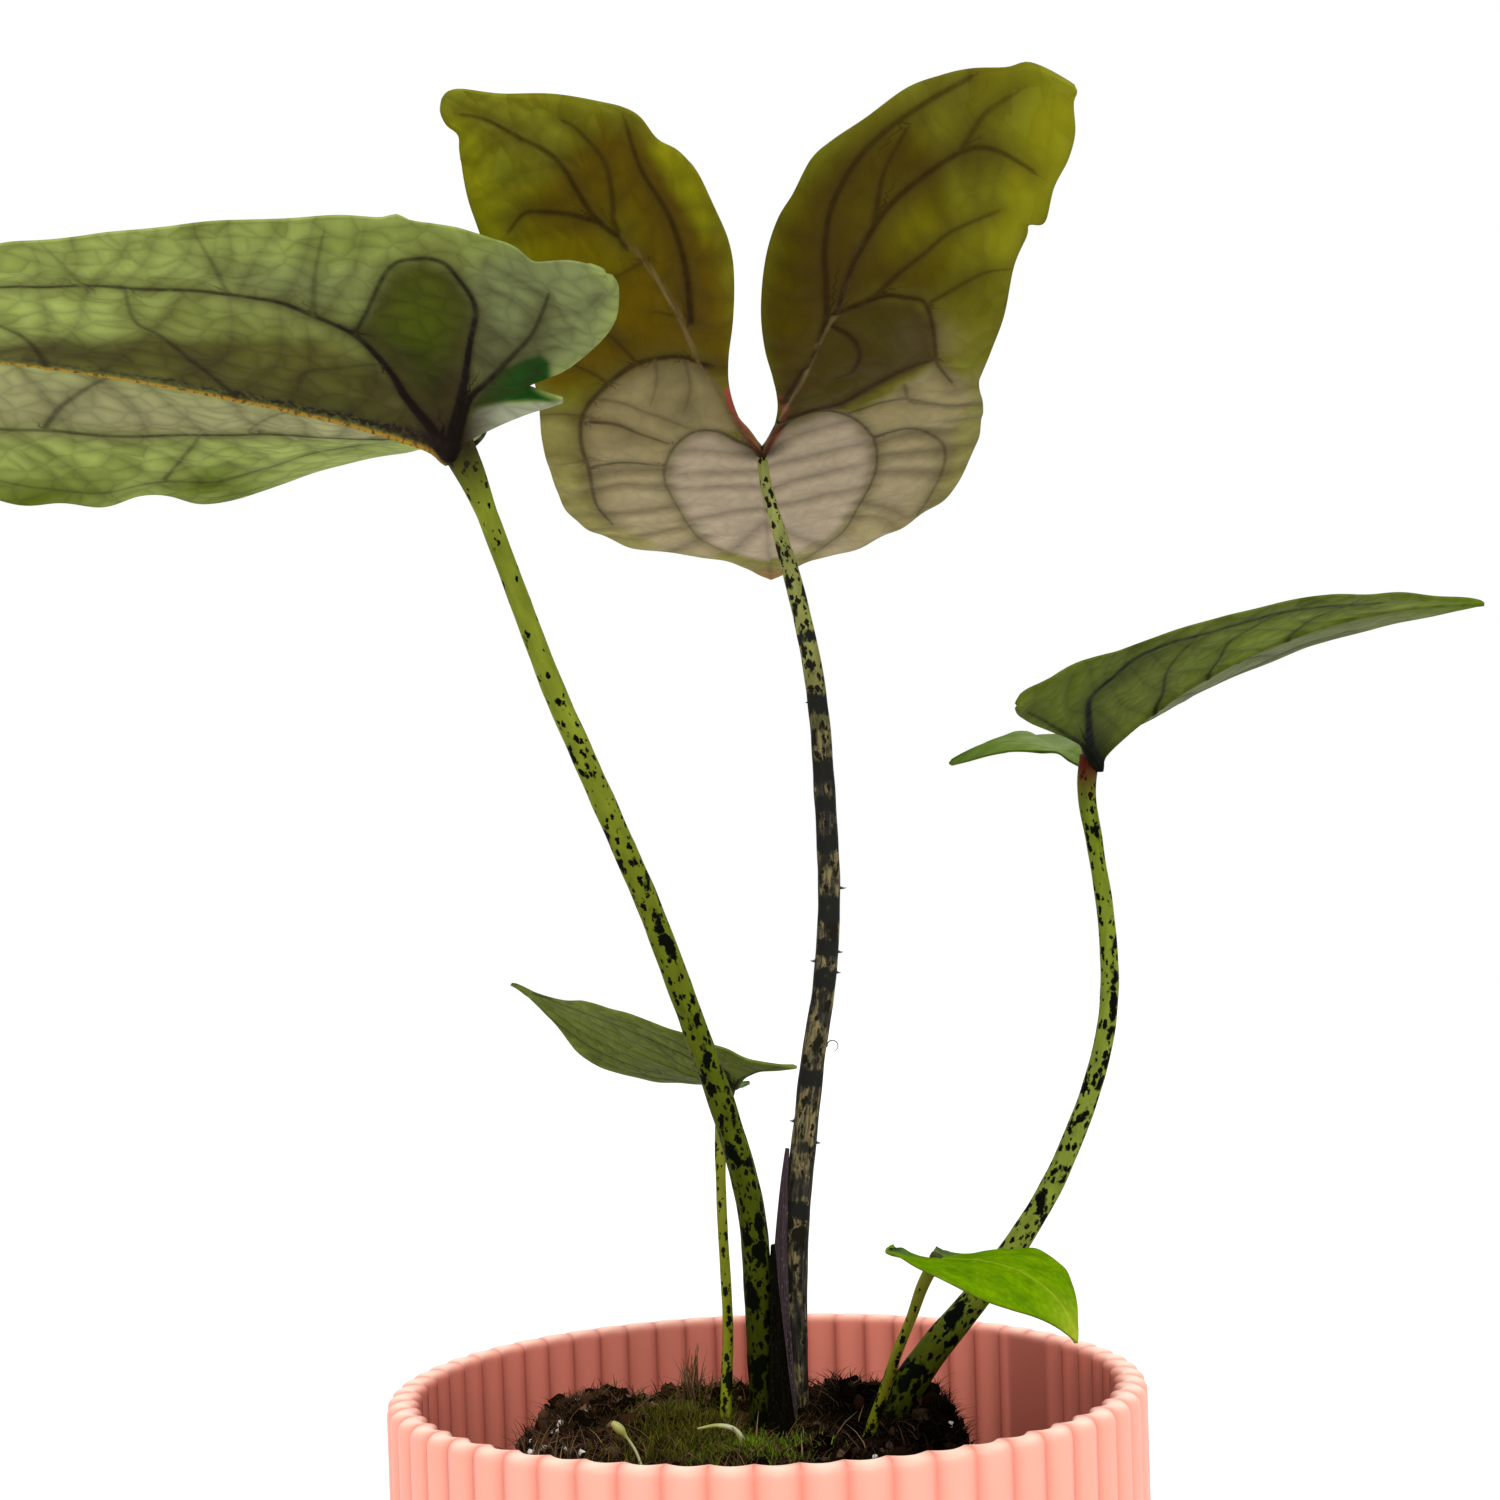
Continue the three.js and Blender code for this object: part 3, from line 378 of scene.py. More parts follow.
                    (35, -20), (37, -10), (37, 4.5), (38, 26.5), (36, 42), (28, 60), (14, 78), (12, 71),
                    (17, 57.5), (20, 33), (21.5, 12), (19, -3), (14.5, -10.5), (9, -11.5),
                ]),
                ("brown", 1.0, 4, [
                    (2, -12), (6, -30), (11, -37), (20, -36), (30, -30), (42, -25), (42, -40), (43, -55),
                    (42, -66), (34, -76), (26, -84), (18, -82), (10, -74), (5, -62), (4, -45),
                ]),
                ("warm", 0.7, 3, [(24, -56), (30, -64), (40, -66), (42, -56), (34, -48)]),
                ("green", 1.0, 6, [
                    (32, -14), (50, -30), (50, 10), (46, 60), (20, 96), (0, 120), (0, 90), (16, 70),
                    (34, 10),
                ]),
                ("red", 1.0, 0.5, [
                    (0, -2), (2.5, -11), (4.6, -18.5), (5.5, -27), (6.6, -27), (6, -18), (3.9, -10),
                    (1.3, -2),
                ]),
                ("fresh", 0.75, 3, [(46, -50), (52, -66), (56, -86), (50, -88), (48, -78), (44, -62)]),
                ("fresh", 0.8, 1.5, [(6, -66), (9, -76), (15, -82), (17, -79), (12, -70), (8, -62)]),
                ("tan", 1.0, 0.35, [
                    (0, -3), (4.4, -12), (8.6, -27), (11.6, -35.3), (14.1, -46), (17.1, -53), (20.5, -59),
                    (24.2, -63.5), (19.9, -59), (16.4, -53), (13.4, -46), (10.9, -35.3), (7.9, -27),
                    (3.7, -12),
                ]),
            ],
        },
        "spots": {
            "right": [
                ("dark", (14, -32), (9, 13), 0.5), ("dark", (3, 94), (10, 14), 0.25),
                ("pale", (30, 30), (8, 24), 0.5), ("dark", (12, -28), (9, 10), 0.85),
                ("dark", (3, -38), (4, 12), 0.5), ("dark", (14, -58), (5, 8), 0.35),
                ("pale", (13, 73), (9, 9), 0.6), ("ring", (32, -41), (6, 6), 0.8),
                ("dark", (16, -54), (10, 8), 0.4), ("dark", (13, -36), (5, 8), 0.5),
                ("dark", (11, -22), (5, 8), 0.5), ("dark", (3, -34), (4, 8), 0.35),
                ("dark", (40, -78), (5, 5), 0.25), ("ring", (22, -31), (6, 4), 0.3),
                ("olive", (40, -55), (8, 12), 0.6), ("olive", (40, -77), (7, 8), 0.4),
                ("fresh", (31, -66), (8, 6), 0.4), ("red", (0, 105), (9, 9), 0.35),
            ],
            "left": [
                ("dark", (9, -32), (5, 5), 0.4), ("dark", (3, 94), (10, 14), 0.25),
                ("pale", (26, 30), (10, 26), 0.35), ("dark", (14, -20), (7, 9), 0.35),
                ("olive", (52, -36), (8, 12), 0.8), ("olive", (54, -59), (5, 8), 0.7),
                ("olive", (34, -46), (9, 8), 0.6), ("pale", (22, 66), (8, 10), 0.5),
                ("dark", (44, -38), (5, 5), 0.4), ("dark", (26, -40), (7, 4), 0.3),
                ("dark", (16, -30), (5, 5), 0.35), ("dark", (29, -9), (5, 4), 0.3),
                ("fresh", (44, -58), (8, 8), 0.5), ("fresh", (24, -63), (4, 6), 0.4),
                ("pale", (24, 64), (6, 6), 0.3), ("warm", (32, -64), (9, 9), 0.5),
                ("olive", (45, -40), (7, 10), 0.6), ("red", (0, 105), (9, 9), 0.35),
            ],
        },
        "wave": 0.25, "ridge": 1.0, "collar": 0.5, "under": "under_back", "upper": "upper_back",
        "painted_rung_highlight": 0.7, "soft": 1.0, "crisp": 0.4, "fine": True,
    },
    {
        "name": "blade_right", "place": (70, 11.5, 244.5), "heading": -4.5, "pitch": 39, "roll": 21,
        "bend": (-32, -17), "lobe_bend": {"right": (62.5, -75.5), "left": (20, -30)},
        "fold": {"right": (0.5, 4, -20.5), "left": (64, 40, 20, 19, 17, 16, 15)}, "length": 85,
        "lobe": 10.5,
        "outline": {
            "right": [
                (0, 85), (11, 70), (20.5, 51.5), (26.8, 26.5), (31, 14), (33.4, 9.4), (36.3, 2.6),
                (38.2, -1.2), (39.4, -5.4), (39.6, -8), (38.2, -9.8), (34.2, -10), (28.8, -8.8), (24, -7.2),
                (18.6, -5), (13.8, -2.8), (7.8, -1), (3, -1), (1.5, -1), (0, -1.2),
            ],
            "left": [
                (0, 85), (11, 70), (20.5, 51.5), (26.5, 26.5), (32, 10), (34.5, 3), (33.5, -3), (31.6, -7),
                (33.5, -10), (35.2, -11.6), (33, -11.4), (29.2, -10.4), (24.4, -8.4), (19.6, -5.6),
                (14, -2.9), (8, -2.5), (4.8, -2.3), (2, -2), (0, -1.2),
            ],
        },
        "marks": {"right": (7, 10), "left": (5, 9)}, "rib": [(9, 0), (23, -4.6)], "rows": (110, 40),
        "veins": {
            "right": [
                (1.7, 1.0, [
                    (0.5, 0), (7, 0.8), (15.5, 2.5), (22, 4.5), (24, 10), (26, 15), (25, 21.5), (22, 29),
                    (18, 45), (9, 65),
                ]),
                (0.9, 0.75, [(0, 16), (4.5, 19), (13, 20.5), (18.5, 24.5), (22, 29)]),
                (0.9, 0.7, [(0, 29), (6, 32), (11, 34), (14, 37.5), (18, 44)]),
                (0.9, 0.6, [(0, 46.5), (6.5, 51), (11, 57), (15, 61)]),
                (1.0, 0.8, [(0.5, -0.5), (9, -1), (23, -5.2), (33, -8.4)]),
            ],
            "left": [
                (1.0, 0.7, [(0.5, 0), (10, 1.5), (18, 8), (22, 20), (20, 38), (11, 60)]),
                (0.9, 0.6, [(0.5, -0.5), (9, -2.5), (23, -6), (33, -9)]),
                (0.8, 0.5, [(0, 18), (8, 24), (21, 30)]),
                (0.8, 0.5, [(0, 36), (8, 42), (18, 46)]),
            ],
        },
        "ladders": {
            "right": [
                (0.12, 1.1, 8, [(0, 6), (0, 70)], [(15, 3), (25, 15), (22, 29), (9, 64)]),
                (0.12, 1.1, 8, [(16, 2.5), (26, 15), (16, 50)], [(34, 2), (30, 20), (18, 58)]),
            ],
            "left": [],
        },
        "zones": {
            "right": [
                ("warm", 0.55, 3, [
                    (0, 2), (7, 0.8), (15.5, 2.5), (22, 4.5), (26, 15), (22, 28), (12, 34), (0, 30),
                ]),
            ],
            "left": [
                ("green", 1.0, 1.2, [
                    (6, -2), (14, -2.6), (20, -4.8), (26, -7), (31, -7.6), (33, -3), (34.5, 3), (30, 6),
                    (20, 6), (8, 2),
                ]),
            ],
        },
        "spots": {
            "right": [
                ("dark", (4, 1), (8, 4), 0.8), ("fresh", (22, -2), (12, 4), 0.35),
                ("fresh", (8, 44), (10, 16), 0.4), ("warm", (28, -1), (12, 8), 0.8),
                ("dark", (22, 12), (5, 10), 0.4), ("dark", (32, 14), (4, 22), 0.3),
                ("dark", (20, 48), (5, 14), 0.25), ("fresh", (30, 2), (6, 6), 0.4),
                ("fresh", (0, 84), (8, 10), 0.9),
            ],
            "left": [
                ("pale", (14, 44), (26, 52), 0.9), ("fresh", (22, -4), (20, 10), 1.0),
                ("fresh", (0, 84), (8, 10), 0.9),
            ],
        },
        "wave": 0.15, "ridge": 0.9, "collar": 0.9, "under": "under_right", "upper": "upper", "painted_rung_highlight": 0.4,
        "soft": 0.6, "crisp": 1.4, "fine": True,
    },
    {
        "name": "blade_small_left", "place": (-5, 14, 181.5), "heading": 179, "pitch": 15, "roll": -18,
        "bend": (39.5, -25), "lobe_bend": {"right": (29, -8.5), "left": (29, -8.5)},
        "fold": {"right": (21.5, 18.5, -33.5), "left": (-5.5, 5, 1.5)}, "length": 49, "lobe": 11,
        "outline": {
            "right": [
                (0, 49), (4.5, 39), (14, 29.5), (18.5, 16), (18, 3), (17, -1), (16.4, -3), (14.5, -4.6),
                (10, -3.6), (5, -2.6), (2.5, -2), (1, -1.5), (0, -1),
            ],
            "left": [
                (0, 49), (4.5, 39), (14, 29.5), (18.5, 16), (18, 4), (17, -1), (17.4, -5), (19.5, -11.3),
                (15, -7.5), (10, -4), (6, -2.6), (2.5, -1.8), (1, -1.5), (0, -1),
            ],
        },
        "marks": {"right": (4, 7), "left": (4, 7)}, "rib": [(5, -1.6), (10.5, -3.2)], "rows": (56, 22),
        "veins": dict.fromkeys(BOTH, [
            (0.5, 0.9, [(0.5, 0), (5, 4), (9, 10), (10, 20), (7, 32), (2, 44)]),
            (0.5, 0.4, [(0.3, 1), (2.5, 8), (4.5, 18), (4, 30), (1, 42)]),
            (0.5, 0.8, [(0.5, 0), (8, 2), (13, 9), (14.5, 19), (11, 29)]),
            (0.45, 0.7, [(0.5, -0.5), (6, -2), (13, -5), (18, -8)]),
            (0.4, 0.4, [(4.5, 12), (9, 16), (13, 18)]),
            (0.4, 0.4, [(4.5, 22), (8, 26)]),
        ]),
        "ladders": NONE,
        "zones": NONE,
        "spots": NONE, "wave": 0.1, "ridge": 0.6, "collar": 0.8, "under": "under_small", "upper": "upper",
        "painted_rung_highlight": 0.4, "soft": 0.6, "crisp": 1.4, "fine": False,
    },
    {
        "name": "blade_small_right", "place": (30.5, -24.5, 151.5), "heading": -30, "pitch": 3,
        "roll": -3.5, "bend": (-9.5, -81), "lobe_bend": {"right": (55, 26), "left": (55, 26)},
        "fold": {"right": (20, 15.5, -18.5), "left": (-13.5, -8, -0.5)}, "length": 31, "lobe": 7.5,
        "outline": {
            "right": [
                (0, 31), (6.5, 25), (15.5, 18), (22, 9.5), (21.6, 2), (19.5, -2), (17.5, -4.6),
                (16.5, -5.4), (10.5, -4.6), (5, -3.4), (2.5, -2.6), (1, -1.8), (0, -1),
            ],
            "left": [
                (0, 31), (6.5, 25), (15.5, 18), (22, 9.5), (21, 3), (17.5, -0.5), (15, -2.5), (13, -3.6),
                (9, -3.8), (5, -3.2), (2.5, -2.6), (1, -1.8), (0, -1),
            ],
        },
        "marks": {"right": (4, 7), "left": (4, 7)}, "rib": [(5, -2), (12, -4.5)], "rows": (50, 20),
        "veins": dict.fromkeys(BOTH, [
            (0.5, 0.6, [(0.5, 0), (6, 2), (11, 6), (13, 13), (8, 22), (2, 28)]),
            (0.45, 0.5, [(0.5, -0.5), (6, -2.5), (13, -5)]),
            (0.45, 0.5, [(0, 7), (5, 9), (12, 12)]),
            (0.45, 0.4, [(0, 15), (5, 17), (10, 20)]),
        ]),
        "ladders": NONE,
        "zones": NONE,
        "spots": {
            "right": [
                ("fresh", (0, 31), (6, 6), 1.0), ("dark", (15, -4), (8, 4), 0.9),
                ("olive", (4, 2), (12, 9), 0.6),
            ],
            "left": [
                ("fresh", (0, 31), (6, 6), 1.0), ("dark", (12, -4), (8, 4), 0.9),
                ("olive", (4, 2), (12, 9), 0.6),
            ],
        },
        "wave": 0.15, "ridge": 0.6, "collar": 0.5, "under": "under_young", "upper": "upper_young",
        "painted_rung_highlight": 0.4, "soft": 0.6, "crisp": 1.4, "fine": False,
    },
]
RUNG_WIDTH = 0.3
TINTS = ("dark", "brown", "olive", "warm", "ring", "pale", "fresh", "green", "red", "tan")

# Stalks, as in the part's source
STALKS = {
    "stalk_left": {
        "route": [
            (3, 1.5, 88), (1.5, 0, 102), (0, -1, 116.5), (-1, -3, 142), (-2, -5.5, 159),
            (-6, -8.5, 176), (-12, -12.5, 194.5), (-19, -17.5, 215), (-27, -23, 235),
            (-35.5, -31, 256), (-42.3, -39.5, 276), (-47.2, -46.3, 290), (-50, -48.5, 296),
        ],
        "radii": [
            3.3, 3.25, 3.2, 2.95, 2.7, 2.6, 2.5, 2.42, 2.35, 2.3, 2.25, 2.2, 2.15, 2.0, 1.85, 1.85, 3.2,
        ],
        "material": "stalk_left_skin",
    },
    "stalk_back": {
        "route": [
            (7, 9.5, 88), (6, 12, 102), (5.5, 13, 115), (6, 13.5, 141.5), (7.5, 13.5, 158.5),
            (9.5, 14, 172), (11.5, 14, 185.5), (14.5, 14.5, 201.5), (16, 14.5, 217.5),
            (16, 15, 238), (15, 15.5, 261), (12, 15.5, 280), (8.5, 16, 295), (6, 16, 306),
            (5.5, 16, 313),
        ],
        "radii": [
            2.9, 2.9, 2.9, 2.85, 2.8, 2.65, 2.5, 2.4, 2.3, 2.27, 2.25, 2.17, 2.1, 1.95, 1.8, 1.3, 1.1,
        ],
        "material": "stalk_back_skin",
    },
    "stalk_right": {
        "route": [
            (17, 3, 86), (18.5, 3.5, 100), (22, 4, 115), (25, 4.5, 121.5), (32, 5, 130.5),
            (40.5, 5.5, 139.5), (49.5, 6, 150), (57.5, 7, 161.5), (65, 8, 176.5),
            (69, 8.5, 188), (71, 9.5, 199.5), (71, 10, 213.5), (70, 11, 226), (69, 11.5, 238),
            (70, 11.5, 245),
        ],
        "radii": [4.2, 4.0, 3.1, 2.5, 2.1, 1.9, 1.8, 1.6, 2.0],
        "material": "stalk_right_skin",
    },
    "stalk_small_left": {
        "route": [
            (-6.5, 6.5, 88), (-7.5, 6, 102), (-8, 6, 116.5), (-7.5, 7.5, 126), (-7, 8.5, 136),
            (-7.5, 11, 156.5), (-7.5, 12.5, 167), (-7, 13.5, 174.5), (-5, 14, 182),
        ],
        "radii": [1.3, 1.2, 1.1, 1.0, 1.0, 1.4],
        "material": "stalk_small_skin",
    },
    "stalk_small_right": {
        "route": [
            (10, -1, 88), (13.5, -4.5, 102), (18, -6, 117), (21, -10.5, 126),
            (23.5, -15.5, 134.5), (26, -19, 141), (28, -22, 147), (30.5, -24.5, 152),
        ],
        "radii": [1.3, 1.2, 1.1, 1.0, 0.9, 1.2],
        "material": "stalk_small_skin",
    },
}
# Dark bands of the back stalk, as shares of its length and their reach, and its thorns: share, angle, length
BANDS = [
    (0.815, 0.007), (0.752, 0.012), (0.690, 0.014), (0.660, 0.010), (0.625, 0.010), (0.566, 0.016),
    (0.532, 0.010), (0.505, 0.012), (0.418, 0.010), (0.304, 0.009),
]
THORNS = [
    (0.757, 150, 0.7), (0.586, 5, 1.3), (0.530, 8, 1.0), (0.520, 178, 0.9), (0.512, 0, 0.8),
    (0.379, 176, 0.8), (0.363, 4, 0.9), (0.300, 182, 0.8), (0.285, 178, 0.9),
]
SHEATHS = {
    "sheath_left": ("stalk_left", 0.055, 0.29, -15, 95, 2.0),
    "sheath_back": ("stalk_back", 0.055, 0.355, 195, 95, 0.9),
    "sheath_right": ("stalk_right", 0.07, 0.24, 185, 90, 1.4),
}
SHEATH_THICKNESS = 0.9
SEEDLINGS = {
    "seedling_bud": {
        "route": [
            (-20, -25, 106), (-21.5, -25, 114), (-23.5, -25, 121), (-26, -25, 124.5), (-27.5, -25, 126),
        ],
        "radii": [0.34, 0.3, 0.26] + [0.23] * 22 + [0.26, 0.5, 0.82, 0.86, 0.72, 0.35],
    },
    "seedling_shoot": {
        "route": [(-1, -12, 107), (-3.5, -12, 116), (-6, -12.5, 121), (-9, -12.5, 122), (-13, -12, 121.5)],
        "radii": [0.45, 0.45, 0.48, 0.5, 0.42, 0.2],
    },
}


# Meshes
def make_piece(name, points, faces, material, fields=None, replaces=(), materials_of=None):
    """A mesh piece of the object, from points in millimetres. fields are numbers or vectors per point."""
    mesh = bpy.data.meshes.new(name)
    mesh.from_pydata((np.asarray(points, float) * MM).tolist(), [], [list(map(int, f)) for f in faces])
    for key, values in (fields or {}).items():
        values = np.asarray(values, np.float32)
        if values.ndim == 1:
            mesh.attributes.new(key, "FLOAT", "POINT").data.foreach_set("value", values)
        else:
            mesh.attributes.new(key, "FLOAT_VECTOR", "POINT").data.foreach_set("vector", values.ravel())
    materials = material if isinstance(material, (list, tuple)) else [material]
    for item in materials:
        mesh.materials.append(item)
    if materials_of is not None:
        mesh.polygons.foreach_set("material_index", np.asarray(materials_of, np.int32))
    mesh.polygons.foreach_set("use_smooth", np.ones(len(mesh.polygons), bool))
    mesh.update()
    piece = bpy.data.objects.new(name, mesh)
    scene.collection.objects.link(piece)
    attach(piece, "root")
    if replaces:
        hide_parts(*replaces)


def spline(points, share):
    """Points of a smooth plane curve at shares from 0 to 1, with the same number of steps between points."""
    points = np.asarray(points, float)
    last = len(points) - 1
    place = np.clip(np.atleast_1d(share), 0, 1) * last
    index = np.minimum(np.floor(place).astype(int), last - 1)
    t = (place - index)[:, None]
    before = points[np.maximum(index - 1, 0)]
    start = points[index]
    end = points[index + 1]
    after = points[np.where(index > last - 2, last, index + 2)]
    leave = (end - before) / 2
    arrive = (after - start) / 2
    return (
        (2 * start - 2 * end + leave + arrive) * t**3
        + (-3 * start + 3 * end - 2 * leave - arrive) * t**2
        + leave * t
        + start
    )


class Route:
    """A smooth line in space through points, measured evenly along its length from 0 to 1."""

    def __init__(self, points):
        points = np.asarray(points, float)
        first = 2 * points[0] - points[1]
        last = 2 * points[-1] - points[-2]
        knots = np.vstack([first, points, last])
        pieces = []
        for i in range(len(points) - 1):
            a, b, c, d = knots[i : i + 4]
            step = [max(np.linalg.norm(q - p), 1e-6) ** 0.5 for p, q in ((a, b), (b, c), (c, d))]
            leave = (b - a) / step[0] - (c - a) / (step[0] + step[1]) + (c - b) / step[1]
            arrive = (c - b) / step[1] - (d - b) / (step[1] + step[2]) + (d - c) / step[2]
            leave, arrive = leave * step[1], arrive * step[1]
            t = np.linspace(0, 1, 24, endpoint=False)[:, None]
            squared = 3 * (c - b) - 2 * leave - arrive
            cubed = 2 * (b - c) + leave + arrive
            pieces.append(b + leave * t + squared * t**2 + cubed * t**3)
        self.line = np.vstack(pieces + [points[-1:]])
        run = np.concatenate([[0], np.cumsum(np.linalg.norm(np.diff(self.line, axis=0), axis=1))])
        self.length = run[-1]
        self.share = run / run[-1]

    def at(self, share):
        return np.stack([np.interp(share, self.share, self.line[:, k]) for k in range(3)], -1)

    def frames(self, share):
        """Middle, forward, right and back directions; right starts at the +X side."""
        share = np.asarray(share, float)
        ahead = self.at(np.minimum(share + 0.004, 1)) - self.at(np.maximum(share - 0.004, 0))
        ahead /= np.linalg.norm(ahead, axis=-1, keepdims=True)
        right = np.array([1.0, 0, 0]) - ahead * ahead[..., :1]
        right /= np.linalg.norm(right, axis=-1, keepdims=True)
        return self.at(share), ahead, right, np.cross(ahead, right)


def knots(values, share):
    return np.interp(share, np.linspace(0, 1, len(values)), values)


def closed_faces(rows, sides):
    """Faces of a tube stored ring by ring, with the middle points of its two ends after the last ring."""
    faces = grid_faces(rows, sides, closed=True)
    start = rows * sides
    last = start - sides
    for j in range(sides):
        k = (j + 1) % sides
        faces.append((start, k, j))
        faces.append((start + 1, last + j, last + k))
    return faces


def grid_faces(rows, columns, closed=False, start=0, flip=False):
    """Quads of a net of points stored row by row."""
    faces = []
    across = columns if closed else columns - 1
    for i in range(rows - 1):
        for j in range(across):
            a = start + i * columns + j
            b = start + i * columns + (j + 1) % columns
            face = (a, b, b + columns, a + columns)
            faces.append(face[::-1] if flip else face)
    return faces


# Leaves
def leaf_surface(leaf, out, along, half):
    """Points of the leaf's middle surface, by the same rule as the solid, with its creases eased."""
    lobe_bend = leaf["lobe_bend"][half]

    def midrib(distance):
        ahead = distance >= 0
        linear = np.where(ahead, leaf["bend"][0], lobe_bend[0])
        squared = np.where(ahead, leaf["bend"][1], lobe_bend[1])
        full = np.where(ahead, leaf["length"], leaf["lobe"])
        reach = np.abs(distance)
        run = np.zeros_like(reach)
        rise = np.zeros_like(reach)
        steps = 24
        for i in range(steps):
            part = reach * (i + 0.5) / steps / full
            slope = np.radians(linear * part + squared * part**2)
            run += np.cos(slope) * reach / steps
            rise += np.sin(slope) * reach / steps
        slope = np.radians(linear * reach / full + squared * (reach / full) ** 2)
        return np.where(ahead, run, -run), rise, np.where(ahead, slope, -slope)

    run, rise, slope = midrib(along)
    angles = leaf["fold"][half]
    places = [-leaf["lobe"], *np.linspace(0, leaf["length"], len(angles) - 1)]
    ease = 0.1 * leaf["length"]
    folds = [np.interp(along + shift, places, angles) for shift in np.linspace(-ease, ease, 7)]
    fold = np.radians(np.mean(folds, axis=0))
    lift = (np.sqrt(out**2 + 1) - 1) * np.sin(fold)
    side = (1 if half == "right" else -1) * out * np.cos(fold)
    heading, pitch, roll = (math.radians(leaf[key]) for key in ("heading", "pitch", "roll"))
    forward = np.array(
        [math.cos(heading) * math.cos(pitch), math.sin(heading) * math.cos(pitch), math.sin(pitch)]
    )
    level = np.array([math.sin(heading), -math.cos(heading), 0])
    above = np.cross(level, forward)
    right = level * math.cos(roll) + above * math.sin(roll)
    up = above * math.cos(roll) - level * math.sin(roll)
    return (
        np.array(leaf["place"], float)
        + side[:, None] * right
        + (run - lift * np.sin(slope))[:, None] * forward
        + (rise + lift * np.cos(slope))[:, None] * up
    )


def distance_to(points, line):
    """Distance of plane points from a line of points, the share of it where it is nearest, and the side."""
    best = np.full(len(points), 1e9)
    share = np.zeros(len(points))
    side = np.ones(len(points))
    for i in range(len(line) - 1):
        start, step = line[i], line[i + 1] - line[i]
        t = np.clip(((points - start) @ step) / max(step @ step, 1e-9), 0, 1)
        away = points - start - t[:, None] * step
        gap = np.linalg.norm(away, axis=1)
        near = gap < best
        best[near] = gap[near]
        share[near] = (i + t[near]) / (len(line) - 1)
        side[near] = np.sign(step[0] * away[near, 1] - step[1] * away[near, 0])
    return best, share, side


def inside(points, outline):
    """Distance of plane points from a closed outline, positive inside."""
    closed = np.vstack([outline, outline[:1]])
    gap, _, _ = distance_to(points, closed)
    within = np.zeros(len(points), bool)
    for (x0, y0), (x1, y1) in zip(closed, closed[1:]):
        cross = (y0 > points[:, 1]) != (y1 > points[:, 1])
        at = x0 + (points[:, 1] - y0) * (x1 - x0) / ((y1 - y0) or 1e-9)
        within ^= cross & (points[:, 0] < at)
    return np.where(within, gap, -gap)


def edge_part(outline, start, end, shares):
    """Points evenly along a smooth outline between two of its points."""
    last = len(outline) - 1
    fine = np.linspace(start / last, end / last, 400)
    line = spline(outline, fine)
    run = np.concatenate([[0], np.cumsum(np.linalg.norm(np.diff(line, axis=0), axis=1))])
    run /= run[-1]
    return np.stack([np.interp(shares, run, line[:, k]) for k in range(2)], -1)


def leaf_net(leaf):
    """Points of the flat leaf as (out, along), the half of each, its share across, and the faces."""
    fine = leaf["fine"]
    rows_ahead, rows_lobe = leaf["rows"]
    across, across_inner = (60, 28) if fine else (28, 14)
    places, halves, faces, edge_share = [], [], [], []
    shares = np.linspace(0, 1, across) ** 1.1
    inner_shares = np.linspace(0, 1, across_inner)
    for half in BOTH:
        outline = leaf["outline"][half]
        last = len(outline) - 1
        widest, lobe_tip = leaf["marks"][half]
        rib = [(0, 0), *leaf["rib"], outline[lobe_tip]]
        ahead = np.linspace(0, 1, rows_ahead)
        start = np.stack([0 * ahead, leaf["length"] * (1 - ahead)], -1)
        end = edge_part(outline, 0, widest, ahead)
        lobe = np.linspace(0, 1, rows_lobe + 1)[1:]
        start = np.vstack([start, spline(rib, lobe)])
        end = np.vstack([end, edge_part(outline, widest, lobe_tip, lobe)])
        outer = start[:, None] + (end - start)[:, None] * shares[None, :, None]
        lobe = np.linspace(0, 1, rows_lobe + 1)
        start = spline(rib, lobe)
        end = edge_part(outline, lobe_tip, last, 1 - lobe)
        inner = start[:, None] + (end - start)[:, None] * inner_shares[None, :, None]
        first = sum(len(p) for p in places)
        faces += grid_faces(len(outer), across, start=first, flip=half == "right")
        places.append(outer.reshape(-1, 2))
        edge_share.append(np.tile(shares, len(outer)))
        first += len(outer) * across
        faces += grid_faces(len(inner), across_inner, start=first, flip=half == "left")
        places.append(inner.reshape(-1, 2))
        edge_share.append(np.tile(inner_shares, len(inner)))
        halves += [half] * (len(outer) * across + len(inner) * across_inner)
    places = np.vstack(places)
    places[:, 0] = np.maximum(places[:, 0], 0)
    halves = np.array(halves)
    edge_share = np.concatenate(edge_share)

    # One point where two halves or patches meet
    key = np.round(places, 3)
    signed = np.where(halves == "right", key[:, 0], -key[:, 0])
    _, first_of, group = np.unique(
        np.stack([signed + 0.0, key[:, 1]], -1), axis=0, return_index=True, return_inverse=True
    )
    group = group.ravel().tolist()
    merged = []
    for face in faces:
        corners = []
        for corner in (group[i] for i in face):
            if corner not in corners:
                corners.append(corner)
        if len(corners) > 2:
            merged.append(tuple(corners))
    return places[first_of], halves[first_of], edge_share[first_of], merged


